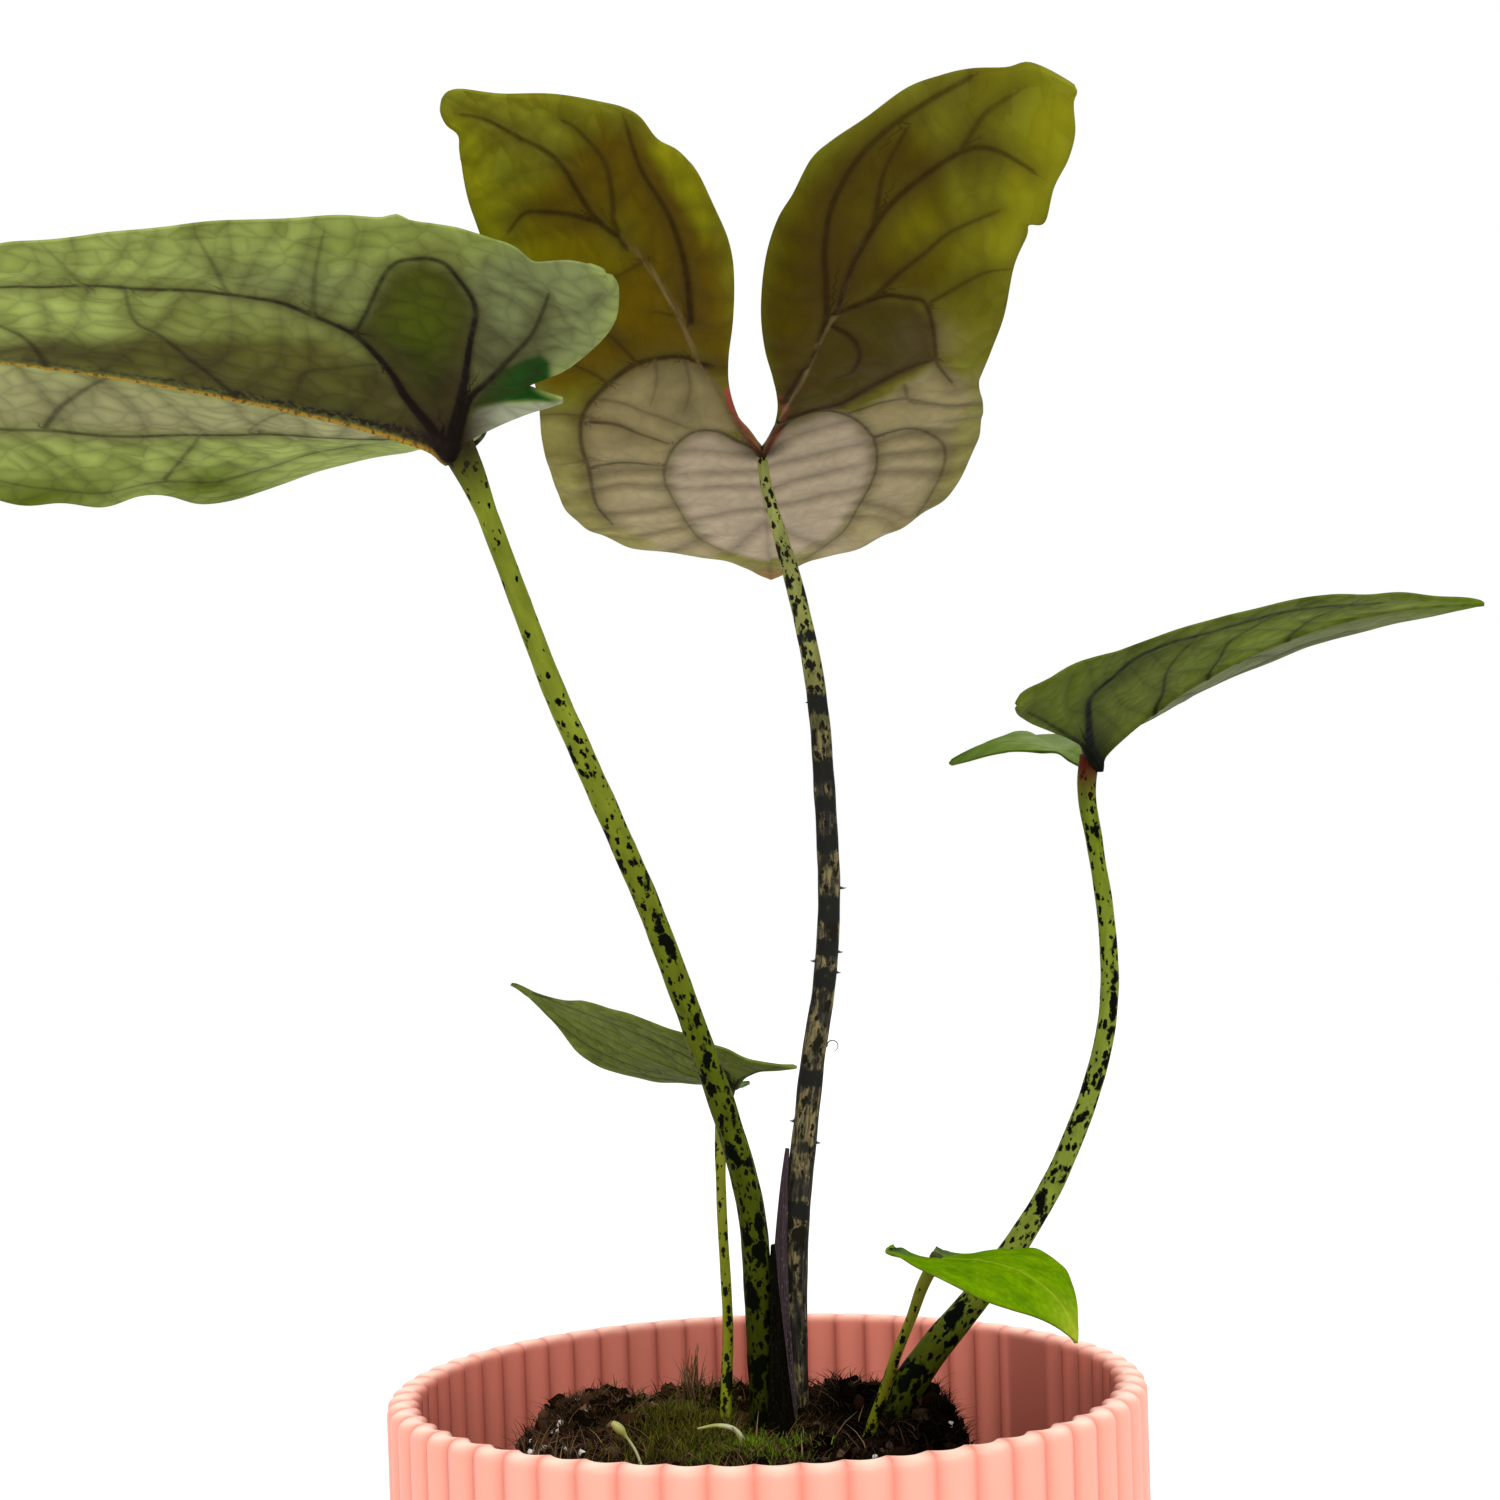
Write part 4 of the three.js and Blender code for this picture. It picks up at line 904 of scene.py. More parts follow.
def leaf_fields(leaf, places, halves):
    """What the veins, rungs, zones and spots give at each point. Side is the distance from the nearest line's
    middle in its half widths, with another sign on each side of it, so that a thin line stays sharp."""
    count = len(places)
    shades = {key: np.zeros(count) for key in ("halo", "relief", "rungs", "painted_rung_highlight")}
    nearest = {key: np.full(count, 1e9) for key in ("vein", "rung")}
    side = {key: np.full(count, 9.0) for key in ("vein", "rung")}
    power = {key: np.zeros(count) for key in ("vein", "rung")}
    gap_to_any = np.full(count, 30.0)
    tints = {kind: np.zeros(count) for kind in TINTS}
    rng = random.Random(len(leaf["name"]))

    def deepen(key, chosen, values):
        shades[key][chosen] = np.maximum(shades[key][chosen], values)

    def draw(key, chosen, gap, side_of, width, strength, fade):
        closer = gap < nearest[key][chosen]
        at = chosen[closer]
        nearest[key][at] = gap[closer]
        side[key][at] = (side_of * gap / width)[closer]
        power[key][at] = (strength * np.exp(-((gap / fade) ** 2)))[closer]

    for half in BOTH:
        chosen = np.where((halves == half) | (places[:, 0] < 1e-6))[0]
        spots = places[chosen]
        stem = np.exp(-((np.linalg.norm(spots, axis=1) / (0.15 * leaf["length"])) ** 2))
        gap_to_any[chosen] = np.minimum(gap_to_any[chosen], spots[:, 0] + 0.5)
        for width, strength, points in leaf["veins"][half]:
            line = spline(points, np.linspace(0, 1, 6 * len(points)))
            gap, share, side_of = distance_to(spots, line)
            force = strength * (1 - 0.4 * share) * (1 + 0.5 * stem)
            reach = 0.75 * width * (1 - 0.3 * share) * (1 + 0.4 * stem)
            thin = 0.6 * width * (1 - 0.5 * share) * (1 + 0.7 * stem)
            draw("vein", chosen, gap, side_of, thin, force, 2.2)
            # The halo darkens beside each vein: partly the vein's own stain and partly painted shade beside
            # the raised vein.
            deepen("halo", chosen, force * np.exp(-((gap / (4.4 * reach)) ** 2)))
            deepen("relief", chosen, force * (1 - 0.5 * share) * np.exp(-((gap / (0.8 * reach)) ** 2)))
            gap_to_any[chosen] = np.minimum(gap_to_any[chosen], gap)
        for strength, reach, number, start, end in leaf["ladders"][half]:
            for i in range(number):
                at = (i + 0.5 + rng.uniform(-0.2, 0.2)) / number
                first, last = spline(start, at)[0], spline(end, min(1, at + rng.uniform(-0.03, 0.03)))[0]
                step = last - first
                bow = np.array([-step[1], step[0]]) * rng.uniform(-0.22, 0.04)
                middle = (first + last) / 2 + bow
                line = spline([first, middle, last], np.linspace(0, 1, 12))
                gap, share, side_of = distance_to(spots, line)
                draw("rung", chosen, gap, side_of, RUNG_WIDTH, leaf["crisp"] * strength, 1.5)
                # Painted shade: a soft dark band along each rung, where the hollows between quilted cells lie
                # in shade.
                deepen("rungs", chosen, leaf["soft"] * strength * np.exp(-((gap / reach) ** 2)))
                # Painted highlight: a bright band a little forward of each rung, where a lit pillow would
                # face the light.
                ahead = spots[:, 1] > np.interp(share, np.linspace(0, 1, 12), line[:, 1])
                bright = np.exp(-(((gap - 1.9 * reach) / reach) ** 2))
                deepen("painted_rung_highlight", chosen, leaf["painted_rung_highlight"] * strength * ahead * bright)
                gap_to_any[chosen] = np.minimum(gap_to_any[chosen], gap * 1.3 / reach + 0.3)
        for kind, strength, soft, outline in leaf["zones"][half]:
            depth = np.clip(inside(spots, np.array(outline, float)) / (2 * soft) + 0.5, 0, 1)
            shade = strength * depth * depth * (3 - 2 * depth)
            tints[kind][chosen] = np.maximum(tints[kind][chosen], shade)
        for kind, at, reach, strength in leaf["spots"][half]:
            gap = (((spots - np.array(at)) / np.array(reach)) ** 2).sum(1)
            tints[kind][chosen] = np.maximum(tints[kind][chosen], strength * np.exp(-gap))
    flat = np.zeros(count)
    shades["lines"] = np.stack([np.clip(side["vein"], -9, 9), np.clip(side["rung"], -9, 9), flat], -1)
    shades["powers"] = np.stack([power["vein"], power["rung"], flat], -1)
    return shades, gap_to_any, tints


def build_leaf(leaf):
    size = 1.0 if leaf["fine"] else 0.5
    places, halves, edge_share, faces = leaf_net(leaf)
    count = len(places)
    shades, gap_to_any, tints = leaf_fields(leaf, places, halves)
    middle = np.exp(-((places[:, 0] / (0.6 * leaf["ridge"])) ** 2)) * np.clip(places[:, 1] + 1, 0, 1)
    beside = np.exp(-(((places[:, 0] - 1.6 * leaf["ridge"]) / (1.1 * leaf["ridge"])) ** 2))
    beside *= np.clip(places[:, 1] + 1, 0, 1) * (halves == "left")
    fade = np.clip(1 - places[:, 1] / leaf["length"], 0, 1)
    notch = np.linalg.norm(places - np.array([0, -2]), axis=1)

    mid = np.empty((count, 3))
    normal = np.empty((count, 3))
    for half in BOTH:
        chosen = halves == half
        out, along = places[chosen].T
        mid[chosen] = leaf_surface(leaf, out, along, half)
        sideways = leaf_surface(leaf, out + 0.4, along, half) - leaf_surface(
            leaf, np.maximum(out - 0.4, 0), along, half
        )
        forward = leaf_surface(leaf, out, along + 0.4, half) - leaf_surface(leaf, out, along - 0.4, half)
        side_normal = np.cross(sideways, forward)
        side_normal /= np.linalg.norm(side_normal, axis=1, keepdims=True)
        normal[chosen] = side_normal if half == "right" else -side_normal
    sheet = [3.0 if half == "right" else 9.0 for half in halves]
    swell = np.array(
        [noise.noise(Vector((p[0] / 9 / size, p[1] / 11 / size, z))) for p, z in zip(places, sheet)]
    )
    wave = leaf["wave"] * edge_share**4 * np.sin(places[:, 1] / (3.4 * size) + 2 * np.sin(places[:, 1] / 11))
    wave *= places[:, 1] > -leaf["lobe"] * 0.8
    pillow = 1 - np.exp(-((gap_to_any / (2.4 * size)) ** 1.5))
    pillow *= np.clip((1 - edge_share) * 8, 0, 1)
    lift = 0.45 * size * swell * np.clip(edge_share * 4, 0, 1) + wave - 0.55 * size * pillow
    mid += lift[:, None] * normal
    thick = 0.28 if leaf["fine"] else 0.26
    upper = mid + thick * normal - (0.25 * size * middle * fade)[:, None] * normal
    off_lobes = np.clip(1 + (places[:, 1] + 1) / 6, 0.2, 1)
    collar = np.exp(-((notch / (4.2 * size)) ** 2)) * off_lobes
    spine = np.exp(-((places[:, 0] / (2.2 * size)) ** 2)) * np.exp(-((places[:, 1] / (13 * size)) ** 2))
    bulge = leaf["ridge"] * middle * (0.25 + 0.75 * fade) + size * shades["relief"] * (0.45 + 0.9 * collar)
    bulge += size * leaf["collar"] * (collar + 0.8 * spine)
    lower = mid - (thick + bulge)[:, None] * normal

    directed = {(corner, face[(i + 1) % len(face)]) for face in faces for i, corner in enumerate(face)}
    rim = sorted((a, b) for a, b in directed if (b, a) not in directed)
    all_faces = list(faces)
    all_faces += [tuple(corner + count for corner in face[::-1]) for face in faces]
    all_faces += [(b, a, a + count, b + count) for a, b in rim]
    kinds = [1] * len(faces) + [0] * (len(faces) + len(rim))
    signed = np.where(halves == "right", places[:, 0], -places[:, 0])
    fields = {
        **shades,
        "pillow": pillow,
        "middle": middle,
        "beside": beside,
        "fade": fade,
        "margin": edge_share,
        "notch": np.exp(-((notch / (4.5 * size)) ** 2)) * off_lobes,
        "leaf_place": np.stack([signed, places[:, 1], 0 * signed], -1),
        **{"tint_" + kind: values for kind, values in tints.items()},
    }
    fields = {name: np.concatenate([values, values]) for name, values in fields.items()}
    make_piece(
        leaf["name"].replace("blade", "leaf"),
        np.vstack([upper, lower]),
        all_faces,
        [MATERIALS[leaf["under"]], MATERIALS[leaf["upper"]]],
        fields,
        [leaf["name"]],
        kinds,
    )


# Stalks, sheaths and shoots
def tube(route, radii, sides, steps, seed=0, rough=0.0):
    """Points, faces and skin coordinates of a round stem with closed ends."""
    line = Route(route)
    share = np.linspace(0, 1, steps)
    centre, ahead, right, back = line.frames(share)
    angle = np.linspace(0, 2 * math.pi, sides, endpoint=False)
    radius = knots(radii, share)[:, None] * np.ones((1, sides))
    if rough:
        for i in range(steps):
            for j in range(sides):
                spot = Vector((math.cos(angle[j]), math.sin(angle[j]), share[i] * line.length / 6 + seed))
                radius[i, j] *= 1 + rough * noise.noise(spot)
    ring = right[:, None] * np.cos(angle)[None, :, None] + back[:, None] * np.sin(angle)[None, :, None]
    points = centre[:, None] + ring * radius[..., None]
    points = points.reshape(-1, 3)
    skin = np.stack(
        [
            radius * np.cos(angle)[None],
            radius * np.sin(angle)[None],
            np.repeat((share * line.length)[:, None], sides, 1),
        ],
        -1,
    ).reshape(-1, 3)
    points = np.vstack([points, centre[:1], centre[-1:]])
    skin = np.vstack([skin, [[0, 0, 0]], [[0, 0, line.length]]])
    along = np.concatenate([np.repeat(share, sides), [0, 1]])
    return points, closed_faces(steps, sides), skin, along


def build_stalk(name, stalk):
    big = len(stalk["radii"]) > 6
    points, faces, skin, along = tube(
        stalk["route"], stalk["radii"], 28 if big else 18, 280 if big else 120, seed=len(name), rough=0.06
    )
    band = np.zeros(len(points))
    if name == "stalk_back":
        for place, reach in BANDS:
            band = np.maximum(band, np.exp(-(((along - place) / reach) ** 4)))
    make_piece(
        name + "_skin",
        points,
        faces,
        MATERIALS[stalk["material"]],
        {"skin": skin, "along": along, "band": band},
        [name],
    )


def build_thorns():
    """Small hooked thorns of the back stalk, and the fibre that curls off it."""
    stalk = STALKS["stalk_back"]
    line = Route(stalk["route"])
    points, faces = [], []

    def add(route, radii):
        start = sum(len(part) for part in points)
        part, part_faces, _, _ = tube(route, radii, 8, 12 if len(route) < 5 else 40)
        points.append(part)
        faces.extend(tuple(start + corner for corner in face) for face in part_faces)

    for share, side, length in THORNS:
        centre, ahead, right, back = line.frames(np.array([share]))
        out = right[0] * math.cos(math.radians(side)) + back[0] * math.sin(math.radians(side))
        foot = centre[0] + out * (knots(stalk["radii"], share) - 0.3)
        bend = foot + out * (0.3 + 0.6 * length) - ahead[0] * 0.1
        add([foot, bend, foot + out * (0.3 + length)], [0.5, 0.22, 0.05])
    centre, ahead, right, _ = line.frames(np.array([0.448]))
    foot = centre[0] + right[0] * knots(stalk["radii"], 0.448)
    middle = foot + right[0] * 1.1
    curl = [foot - right[0] * 0.2]
    for turn in range(200, -100, -30):
        a = math.radians(turn)
        away = 1.1 * (math.cos(a) * right[0] + math.sin(a) * ahead[0])
        curl.append(middle + away + np.array([0, -0.05, 0]))
    add(curl, [0.14, 0.12, 0.1, 0.06])
    make_piece("stalk_back_thorns", np.vstack(points), faces, MATERIALS["thorn"])


def build_sheath(name, stem, start, end, facing, spread, stand):
    stalk = STALKS[stem]
    line = Route(stalk["route"])
    rows, columns = 60, 36
    share = np.linspace(0, 1, rows)
    t = start + (end - start) * share
    centre, _, right, back = line.frames(t)
    clear = knots(stalk["radii"], t) + 0.4 + stand * (1 - share) ** 1.5
    width = math.radians(spread) * np.sqrt(1 - 0.985 * share)
    across = np.linspace(-1, 1, columns)
    angle = math.radians(facing) + width[:, None] * across[None]
    ring = right[:, None] * np.cos(angle)[..., None] + back[:, None] * np.sin(angle)[..., None]
    ripple = 0.12 * np.sin(across * 14)[None] * (1 - share)[:, None]
    edge = 0.35 * np.abs(across)[None] ** 6 * np.sin(share * 23)[:, None]
    inner = centre[:, None] + ring * (clear[:, None] + ripple + np.abs(edge))[..., None]
    thin = SHEATH_THICKNESS * (0.75 - 0.45 * np.abs(across)[None] ** 3) * np.ones((rows, 1))
    outer = inner + ring * thin[..., None]
    count = rows * columns
    points = np.vstack([outer.reshape(-1, 3), inner.reshape(-1, 3)])
    faces = grid_faces(rows, columns)
    faces += grid_faces(rows, columns, start=count, flip=True)
    border = [i * columns for i in range(rows)]
    border += [(rows - 1) * columns + j for j in range(1, columns)]
    border += [i * columns + columns - 1 for i in range(rows - 2, -1, -1)]
    border += list(range(columns - 2, 0, -1))
    for a, b in zip(border, border[1:] + border[:1]):
        faces.append((a, b, b + count, a + count))
    sideways = np.repeat(across[None], rows, 0) * 8
    upwards = np.repeat(share[:, None], columns, 1) * 40
    skin = np.vstack([np.stack([sideways, upwards, 0 * angle], -1).reshape(-1, 3)] * 2)
    make_piece(
        name + "_skin",
        points,
        faces,
        MATERIALS["sheath_back" if name == "sheath_back" else "sheath"],
        {"skin": skin, "along": np.concatenate([np.repeat(share, columns)] * 2)},
        [name],
    )


# Pot
def build_pot():
    sides = FLUTES * 20
    angle = np.linspace(0, 2 * math.pi, sides, endpoint=False)
    turn = np.degrees(angle)
    flute = FLUTE_DEPTH * (1 - np.abs(np.cos(FLUTES / 2 * angle)))
    panel_start, panel_end = PLAIN_PANEL
    panel = 1 / (1 + np.exp(-2.5 * (turn - panel_start - 0.5))) / (1 + np.exp(2.5 * (turn - panel_end + 0.5)))
    flute_in = flute * (1 - panel) + FLUTE_DEPTH / 2 * panel
    points, depths, linings, painted_rim_highlights = [], [], [], []

    def wall(height):
        return BASE_RADIUS + (RIM_RADIUS - BASE_RADIUS) * height / POT_HEIGHT

    def ring(radius, height, depth, lining=0.0, painted_rim_highlight=0.0):
        level = np.full(sides, float(height))
        points.append(np.stack([radius * np.cos(angle), radius * np.sin(angle), level], -1))
        depths.append(depth)
        linings.append(lining)
        painted_rim_highlights.append(painted_rim_highlight)

    for part in np.radians(np.linspace(0, 90, 5)):
        height = EDGE_ROUND * (1 - math.cos(part))
        ring(wall(height) - flute - EDGE_ROUND * (1 - math.sin(part)), height, flute)
    for height in np.linspace(EDGE_ROUND, POT_HEIGHT - EDGE_ROUND, 14)[1:]:
        ring(wall(height) - flute, height, flute)
    top = POT_HEIGHT - EDGE_ROUND
    outside = wall(top) - flute
    inside = wall(top) - WALL - flute_in
    # Weights of the painted highlight on the rim, strongest at the top of its round.
    painted_rim_highlight = np.sin(np.linspace(0, math.pi, RIM_RINGS)) ** 2
    linings_of_rim = [0.0] * (RIM_RINGS - 3) + [0.2, 0.5, 0.85]
    for i, part in enumerate(np.radians(np.linspace(0, 180, RIM_RINGS + 2)[1:-1])):
        lean = np.sign(math.cos(part)) * abs(math.cos(part)) ** 0.8
        radius = (outside + inside) / 2 + lean * (outside - inside) / 2
        lining = linings_of_rim[i]
        height = top + EDGE_ROUND * math.sin(part) ** 0.75
        ring(radius, height, flute_in if lining else flute, lining, painted_rim_highlight[i])
    for height in np.linspace(top, FLOOR + 1, 14):
        ring(wall(height) - WALL - flute_in, height, flute_in, 1.0)
    ring(wall(FLOOR) - WALL - flute_in - 1, FLOOR, flute_in, 1.0)

    count = len(points)
    # Painted shade for the inner wall: strongest on its left and right flanks, and darker on the plain panel.
    painted_flank_shade = np.maximum(0.45 * np.abs(np.cos(angle)) ** 3, 0.6 * panel)
    # Painted highlight along the top of the rim, on the ridges of the flutes.
    rim = 0.8 * np.repeat(painted_rim_highlights, sides) * np.tile(1 - flute / FLUTE_DEPTH, count)
    fields = {
        "groove": np.concatenate([*depths, [0.5, 0.5]]) / FLUTE_DEPTH,
        "inner": np.concatenate([np.repeat(linings, sides), [0, 1]]),
        "rim": np.concatenate([rim, [0, 0]]),
        "painted_flank_shade": np.concatenate([np.tile(painted_flank_shade, count), [0, 0]]),
    }
    points = np.vstack(points + [[[0, 0, 0]], [[0, 0, FLOOR]]])
    faces = closed_faces(count, sides)
    make_piece("pot_shell", points, faces, MATERIALS["pot"], fields, ["pot"])


# Soil and what grows on it
def soil_height(x, y):
    away = math.hypot(x - MOUND["x"], y - MOUND["y"])
    t = min(1, max(0, (away - MOUND["flat"]) / (MOUND["foot"] - MOUND["flat"])))
    rise = 1 - t * t * (3 - 2 * t)
    height = SOIL_EDGE_HEIGHT + (MOUND["height"] - SOIL_EDGE_HEIGHT) * rise
    for cx, cy, radius, top in CLODS:
        near = 1 - min(1, math.hypot(x - cx, y - cy) / radius)
        height += top * near * (2 - near) * 0.8
    return height


def rough_height(x, y):
    """The soil's top with its lumps and grains."""
    spot = Vector((x, y, 0))
    lumps = noise.fractal(spot / 9, 0.9, 2.1, 5)
    grains = noise.noise(spot / 1.3) + 0.6 * noise.noise(spot / 0.6)
    return soil_height(x, y) + 2.0 * lumps + 0.45 * grains


def build_soil():
    sides, rings = 300, 150
    edge = RIM_RADIUS - 1.0 - WALL - FLUTE_DEPTH - 0.9
    angles = [2 * math.pi * j / sides for j in range(sides)]
    points = [(SOIL_FOOT * math.cos(angle), SOIL_FOOT * math.sin(angle), SOIL_BOTTOM) for angle in angles]
    for i in range(rings):
        radius = edge * (1 - i / rings) + 0.2
        for angle in angles:
            x, y = radius * math.cos(angle), radius * math.sin(angle)
            points.append((x, y, rough_height(x, y)))
    points += [(0, 0, SOIL_BOTTOM), (0, 0, rough_height(0, 0))]
    faces = closed_faces(rings + 1, sides)
    make_piece("soil_mound", points, faces, MATERIALS["soil"], None, ["soil"])


def icosahedron():
    """Corners and faces of an icosahedron with edges 2 long."""
    golden = (1 + 5**0.5) / 2
    corners = []
    for a in (-1, 1):
        for b in (-golden, golden):
            corners += [(0, a, b), (a, b, 0), (b, 0, a)]
    corners = np.array(corners, float)
    faces = []
    for i, j, k in combinations(range(12), 3):
        a, b, c = corners[[i, j, k]]
        if max(np.linalg.norm(a - b), np.linalg.norm(b - c), np.linalg.norm(c - a)) < 2.1:
            inward = np.cross(b - a, c - a) @ a < 0
            faces.append((i, k, j) if inward else (i, j, k))
    return corners, faces


def scatter_lumps(name, rng, spots, size, material):
    """Small uneven lumps of the soil: icosahedra pushed about."""
    shape, shape_faces = icosahedron()
    shape /= np.linalg.norm(shape[0])
    points, faces, tone = [], [], []
    for spot in spots:
        wide = size(rng)
        corners = shape * np.array([[rng.uniform(0.7, 1.3)] for _ in shape])
        corners *= wide * np.array([rng.uniform(0.5, 1.5) for _ in range(3)])
        angle = rng.uniform(0, 6.28)
        turn = Matrix.Rotation(angle, 3, Vector((rng.random(), rng.random(), rng.random() + 0.1)))
        start = len(points) * len(shape)
        points.append(corners @ np.array(turn) + np.array(spot))
        faces += [tuple(start + corner for corner in face) for face in shape_faces]
        tone += [rng.random()] * len(shape)
    make_piece(name, np.vstack(points), faces, MATERIALS[material], {"tone": tone})


def on_soil(rng, reach):
    """A random place on the soil."""
    while True:
        x, y = rng.uniform(-reach, reach), rng.uniform(-reach, reach)
        if math.hypot(x, y) < reach:
            return x, y


def scatter_blades(name, rng, count, where, tall, thick, lean, material):
    """Thin tapering fibres that grow from the soil, each a bent strip with three sides. tall, thick and lean
    are the least and the most of each."""
    points, faces, tone, tip = [], [], [], []
    steps = 3
    for _ in range(count):
        x, y = where(rng)
        z = rough_height(x, y) - 0.4
        direction = rng.uniform(0, 2 * math.pi)
        height, width, bend = (rng.uniform(*span) for span in (tall, thick, lean))
        start = len(points)
        for i in range(steps + 1):
            t = i / steps
            sway = bend * height * t**1.6
            rise = height * (t - 0.35 * bend * t * t)
            centre = np.array([x + sway * math.cos(direction), y + sway * math.sin(direction), z + rise])
            radius = width * (1 - t) ** 0.7 + 0.03
            for k in range(3):
                angle = direction + 2.1 * k
                points.append(centre + radius * np.array([math.cos(angle), math.sin(angle), 0]))
                tip.append(t)
            for k in range(3 if i < steps else 0):
                a, b = start + 3 * i + k, start + 3 * i + (k + 1) % 3
                faces.append((a, b, b + 3, a + 3))
        tone += [rng.random()] * (len(points) - start)
        end = start + 3 * steps
        faces += [(start + 2, start + 1, start), (end, end + 1, end + 2)]
    make_piece(name, np.array(points), faces, MATERIALS[material], {"tone": tone, "tip": tip})


def around(x, y, reach_x, reach_y):
    """A chooser of places round a spot of the soil."""
    return lambda rng: (x + reach_x * rng.gauss(0, 0.5), y + reach_y * rng.gauss(0, 0.5))


def build_litter():
    rng = random.Random(7)
    spots = []
    for _ in range(CRUMB_COUNT):
        x, y = on_soil(rng, 60)
        spots.append((x, y, rough_height(x, y) + rng.uniform(-0.2, 0.5)))
    scatter_lumps("soil_crumbs", rng, spots, lambda r: 0.35 + 1.5 * r.random() ** 3, "crumbs")
    spots = []
    for x, y, reach_x, reach_y, count in CLOD_HEAPS:
        for _ in range(count):
            at = around(x, y, reach_x, reach_y)(rng)
            spots.append((*at, rough_height(*at) + rng.uniform(-0.5, 1.2)))
    scatter_lumps("soil_clods", rng, spots, lambda r: r.uniform(0.7, 1.9), "crumbs")
    spots = []
    for _ in range(PERLITE_COUNT):
        x, y = rng.gauss(-35, 4), rng.gauss(2, 5)
        if rng.random() < 0.2:
            x, y = on_soil(rng, 50)
        spots.append((x, y, rough_height(x, y) + 0.3))
    scatter_lumps("perlite_grains", rng, spots, lambda r: r.uniform(0.35, 0.85), "perlite")


def build_moss():
    rng = random.Random(19)
    for name, (count, place, tall, lean, material) in MOSS.items():
        choose = around(*place)

        def where(r):
            while True:
                spot = choose(r)
                if math.hypot(*spot) < 60:
                    return spot

        thick = (0.16, 0.34) if name in ("moss_upright", "roots_left") else (0.10, 0.24)
        scatter_blades(name, rng, count, where, tall, thick, lean, material)


# Materials
def node(tree, kind, inputs=None, **settings):
    """A shader node with its settings and its inputs: values, colours of three numbers or sockets."""
    item = tree.nodes.new("ShaderNode" + kind)
    for key, value in settings.items():
        setattr(item, key, value)
    for key, value in (inputs or {}).items():
        socket = item.inputs[key]
        if isinstance(value, bpy.types.NodeSocket):
            tree.links.new(value, socket)
        else:
            socket.default_value = (*value, 1.0) if socket.type == "RGBA" else value
    return item


def mix(tree, factor, first, second, blend="MIX"):
    inputs = {0: factor, 6: first, 7: second}
    return node(tree, "Mix", inputs, data_type="RGBA", blend_type=blend).outputs[2]


def math_node(tree, operation, first, second=0.0, clamp=False):
    return node(tree, "Math", {0: first, 1: second}, operation=operation, use_clamp=clamp).outputs[0]


def times(tree, first, second, clamp=False):
    return math_node(tree, "MULTIPLY", first, second, clamp)


def ramp(tree, factor, stops, smooth=False):
    item = node(tree, "ValToRGB", {0: factor})
    item.color_ramp.interpolation = "EASE" if smooth else "LINEAR"
    elements = item.color_ramp.elements
    while len(elements) < len(stops):
        elements.new(0.5)
    for element, (place, value) in zip(elements, stops):
        element.position = place
        element.color = (*value, 1) if isinstance(value, tuple) else (value, value, value, 1)
    return item.outputs[0]


def field(tree, name, vector=False):
    item = node(tree, "Attribute", attribute_name=name)
    return item.outputs["Vector" if vector else "Fac"]


def spread_noise(tree, place, scale, detail=3.0, stretch=None, roughness=0.55):
    if stretch is not None:
        place = node(tree, "Mapping", {"Vector": place, "Scale": stretch}).outputs[0]
    settings = {"Vector": place, "Scale": scale, "Detail": detail, "Roughness": roughness}
    return node(tree, "TexNoise", settings).outputs["Fac"]


def cells(tree, place, scale, feature="F1", stretch=None, output="Distance"):
    if stretch is not None:
        place = node(tree, "Mapping", {"Vector": place, "Scale": stretch}).outputs[0]
    return node(tree, "TexVoronoi", {"Vector": place, "Scale": scale}, feature=feature).outputs[output]


def object_place(tree):
    return node(tree, "TexCoord").outputs["Object"]


def darker_right(tree, base):
    """Darkens the soil towards its right."""
    across = node(tree, "SeparateXYZ", {0: object_place(tree)}).outputs[0]
    share = math_node(tree, "ADD", times(tree, across, 10.0), 0.5)
    return mix(tree, 1.0, base, ramp(tree, share, [(0.52, 1.0), (0.64, 0.32)]), "MULTIPLY")


def new_material(name, rough=0.5, **sockets):
    material = bpy.data.materials.new(name)
    material.use_nodes = True
    tree = material.node_tree
    shader = tree.nodes["Principled BSDF"]
    shader.inputs["Roughness"].default_value = rough
    for key, value in sockets.items():
        shader.inputs[key.replace("_", " ")].default_value = value
    MATERIALS[name] = material
    return tree, shader


def finish(tree, shader, base, height=None, strength=0.3, distance=0.3, rough=None):
    tree.links.new(base, shader.inputs["Base Color"])
    if height is not None:
        bump = node(tree, "Bump", {"Height": height, "Strength": strength, "Distance": distance * MM})
        tree.links.new(bump.outputs[0], shader.inputs["Normal"])
    if rough is not None:
        tree.links.new(rough, shader.inputs["Roughness"])


MATERIALS = {}


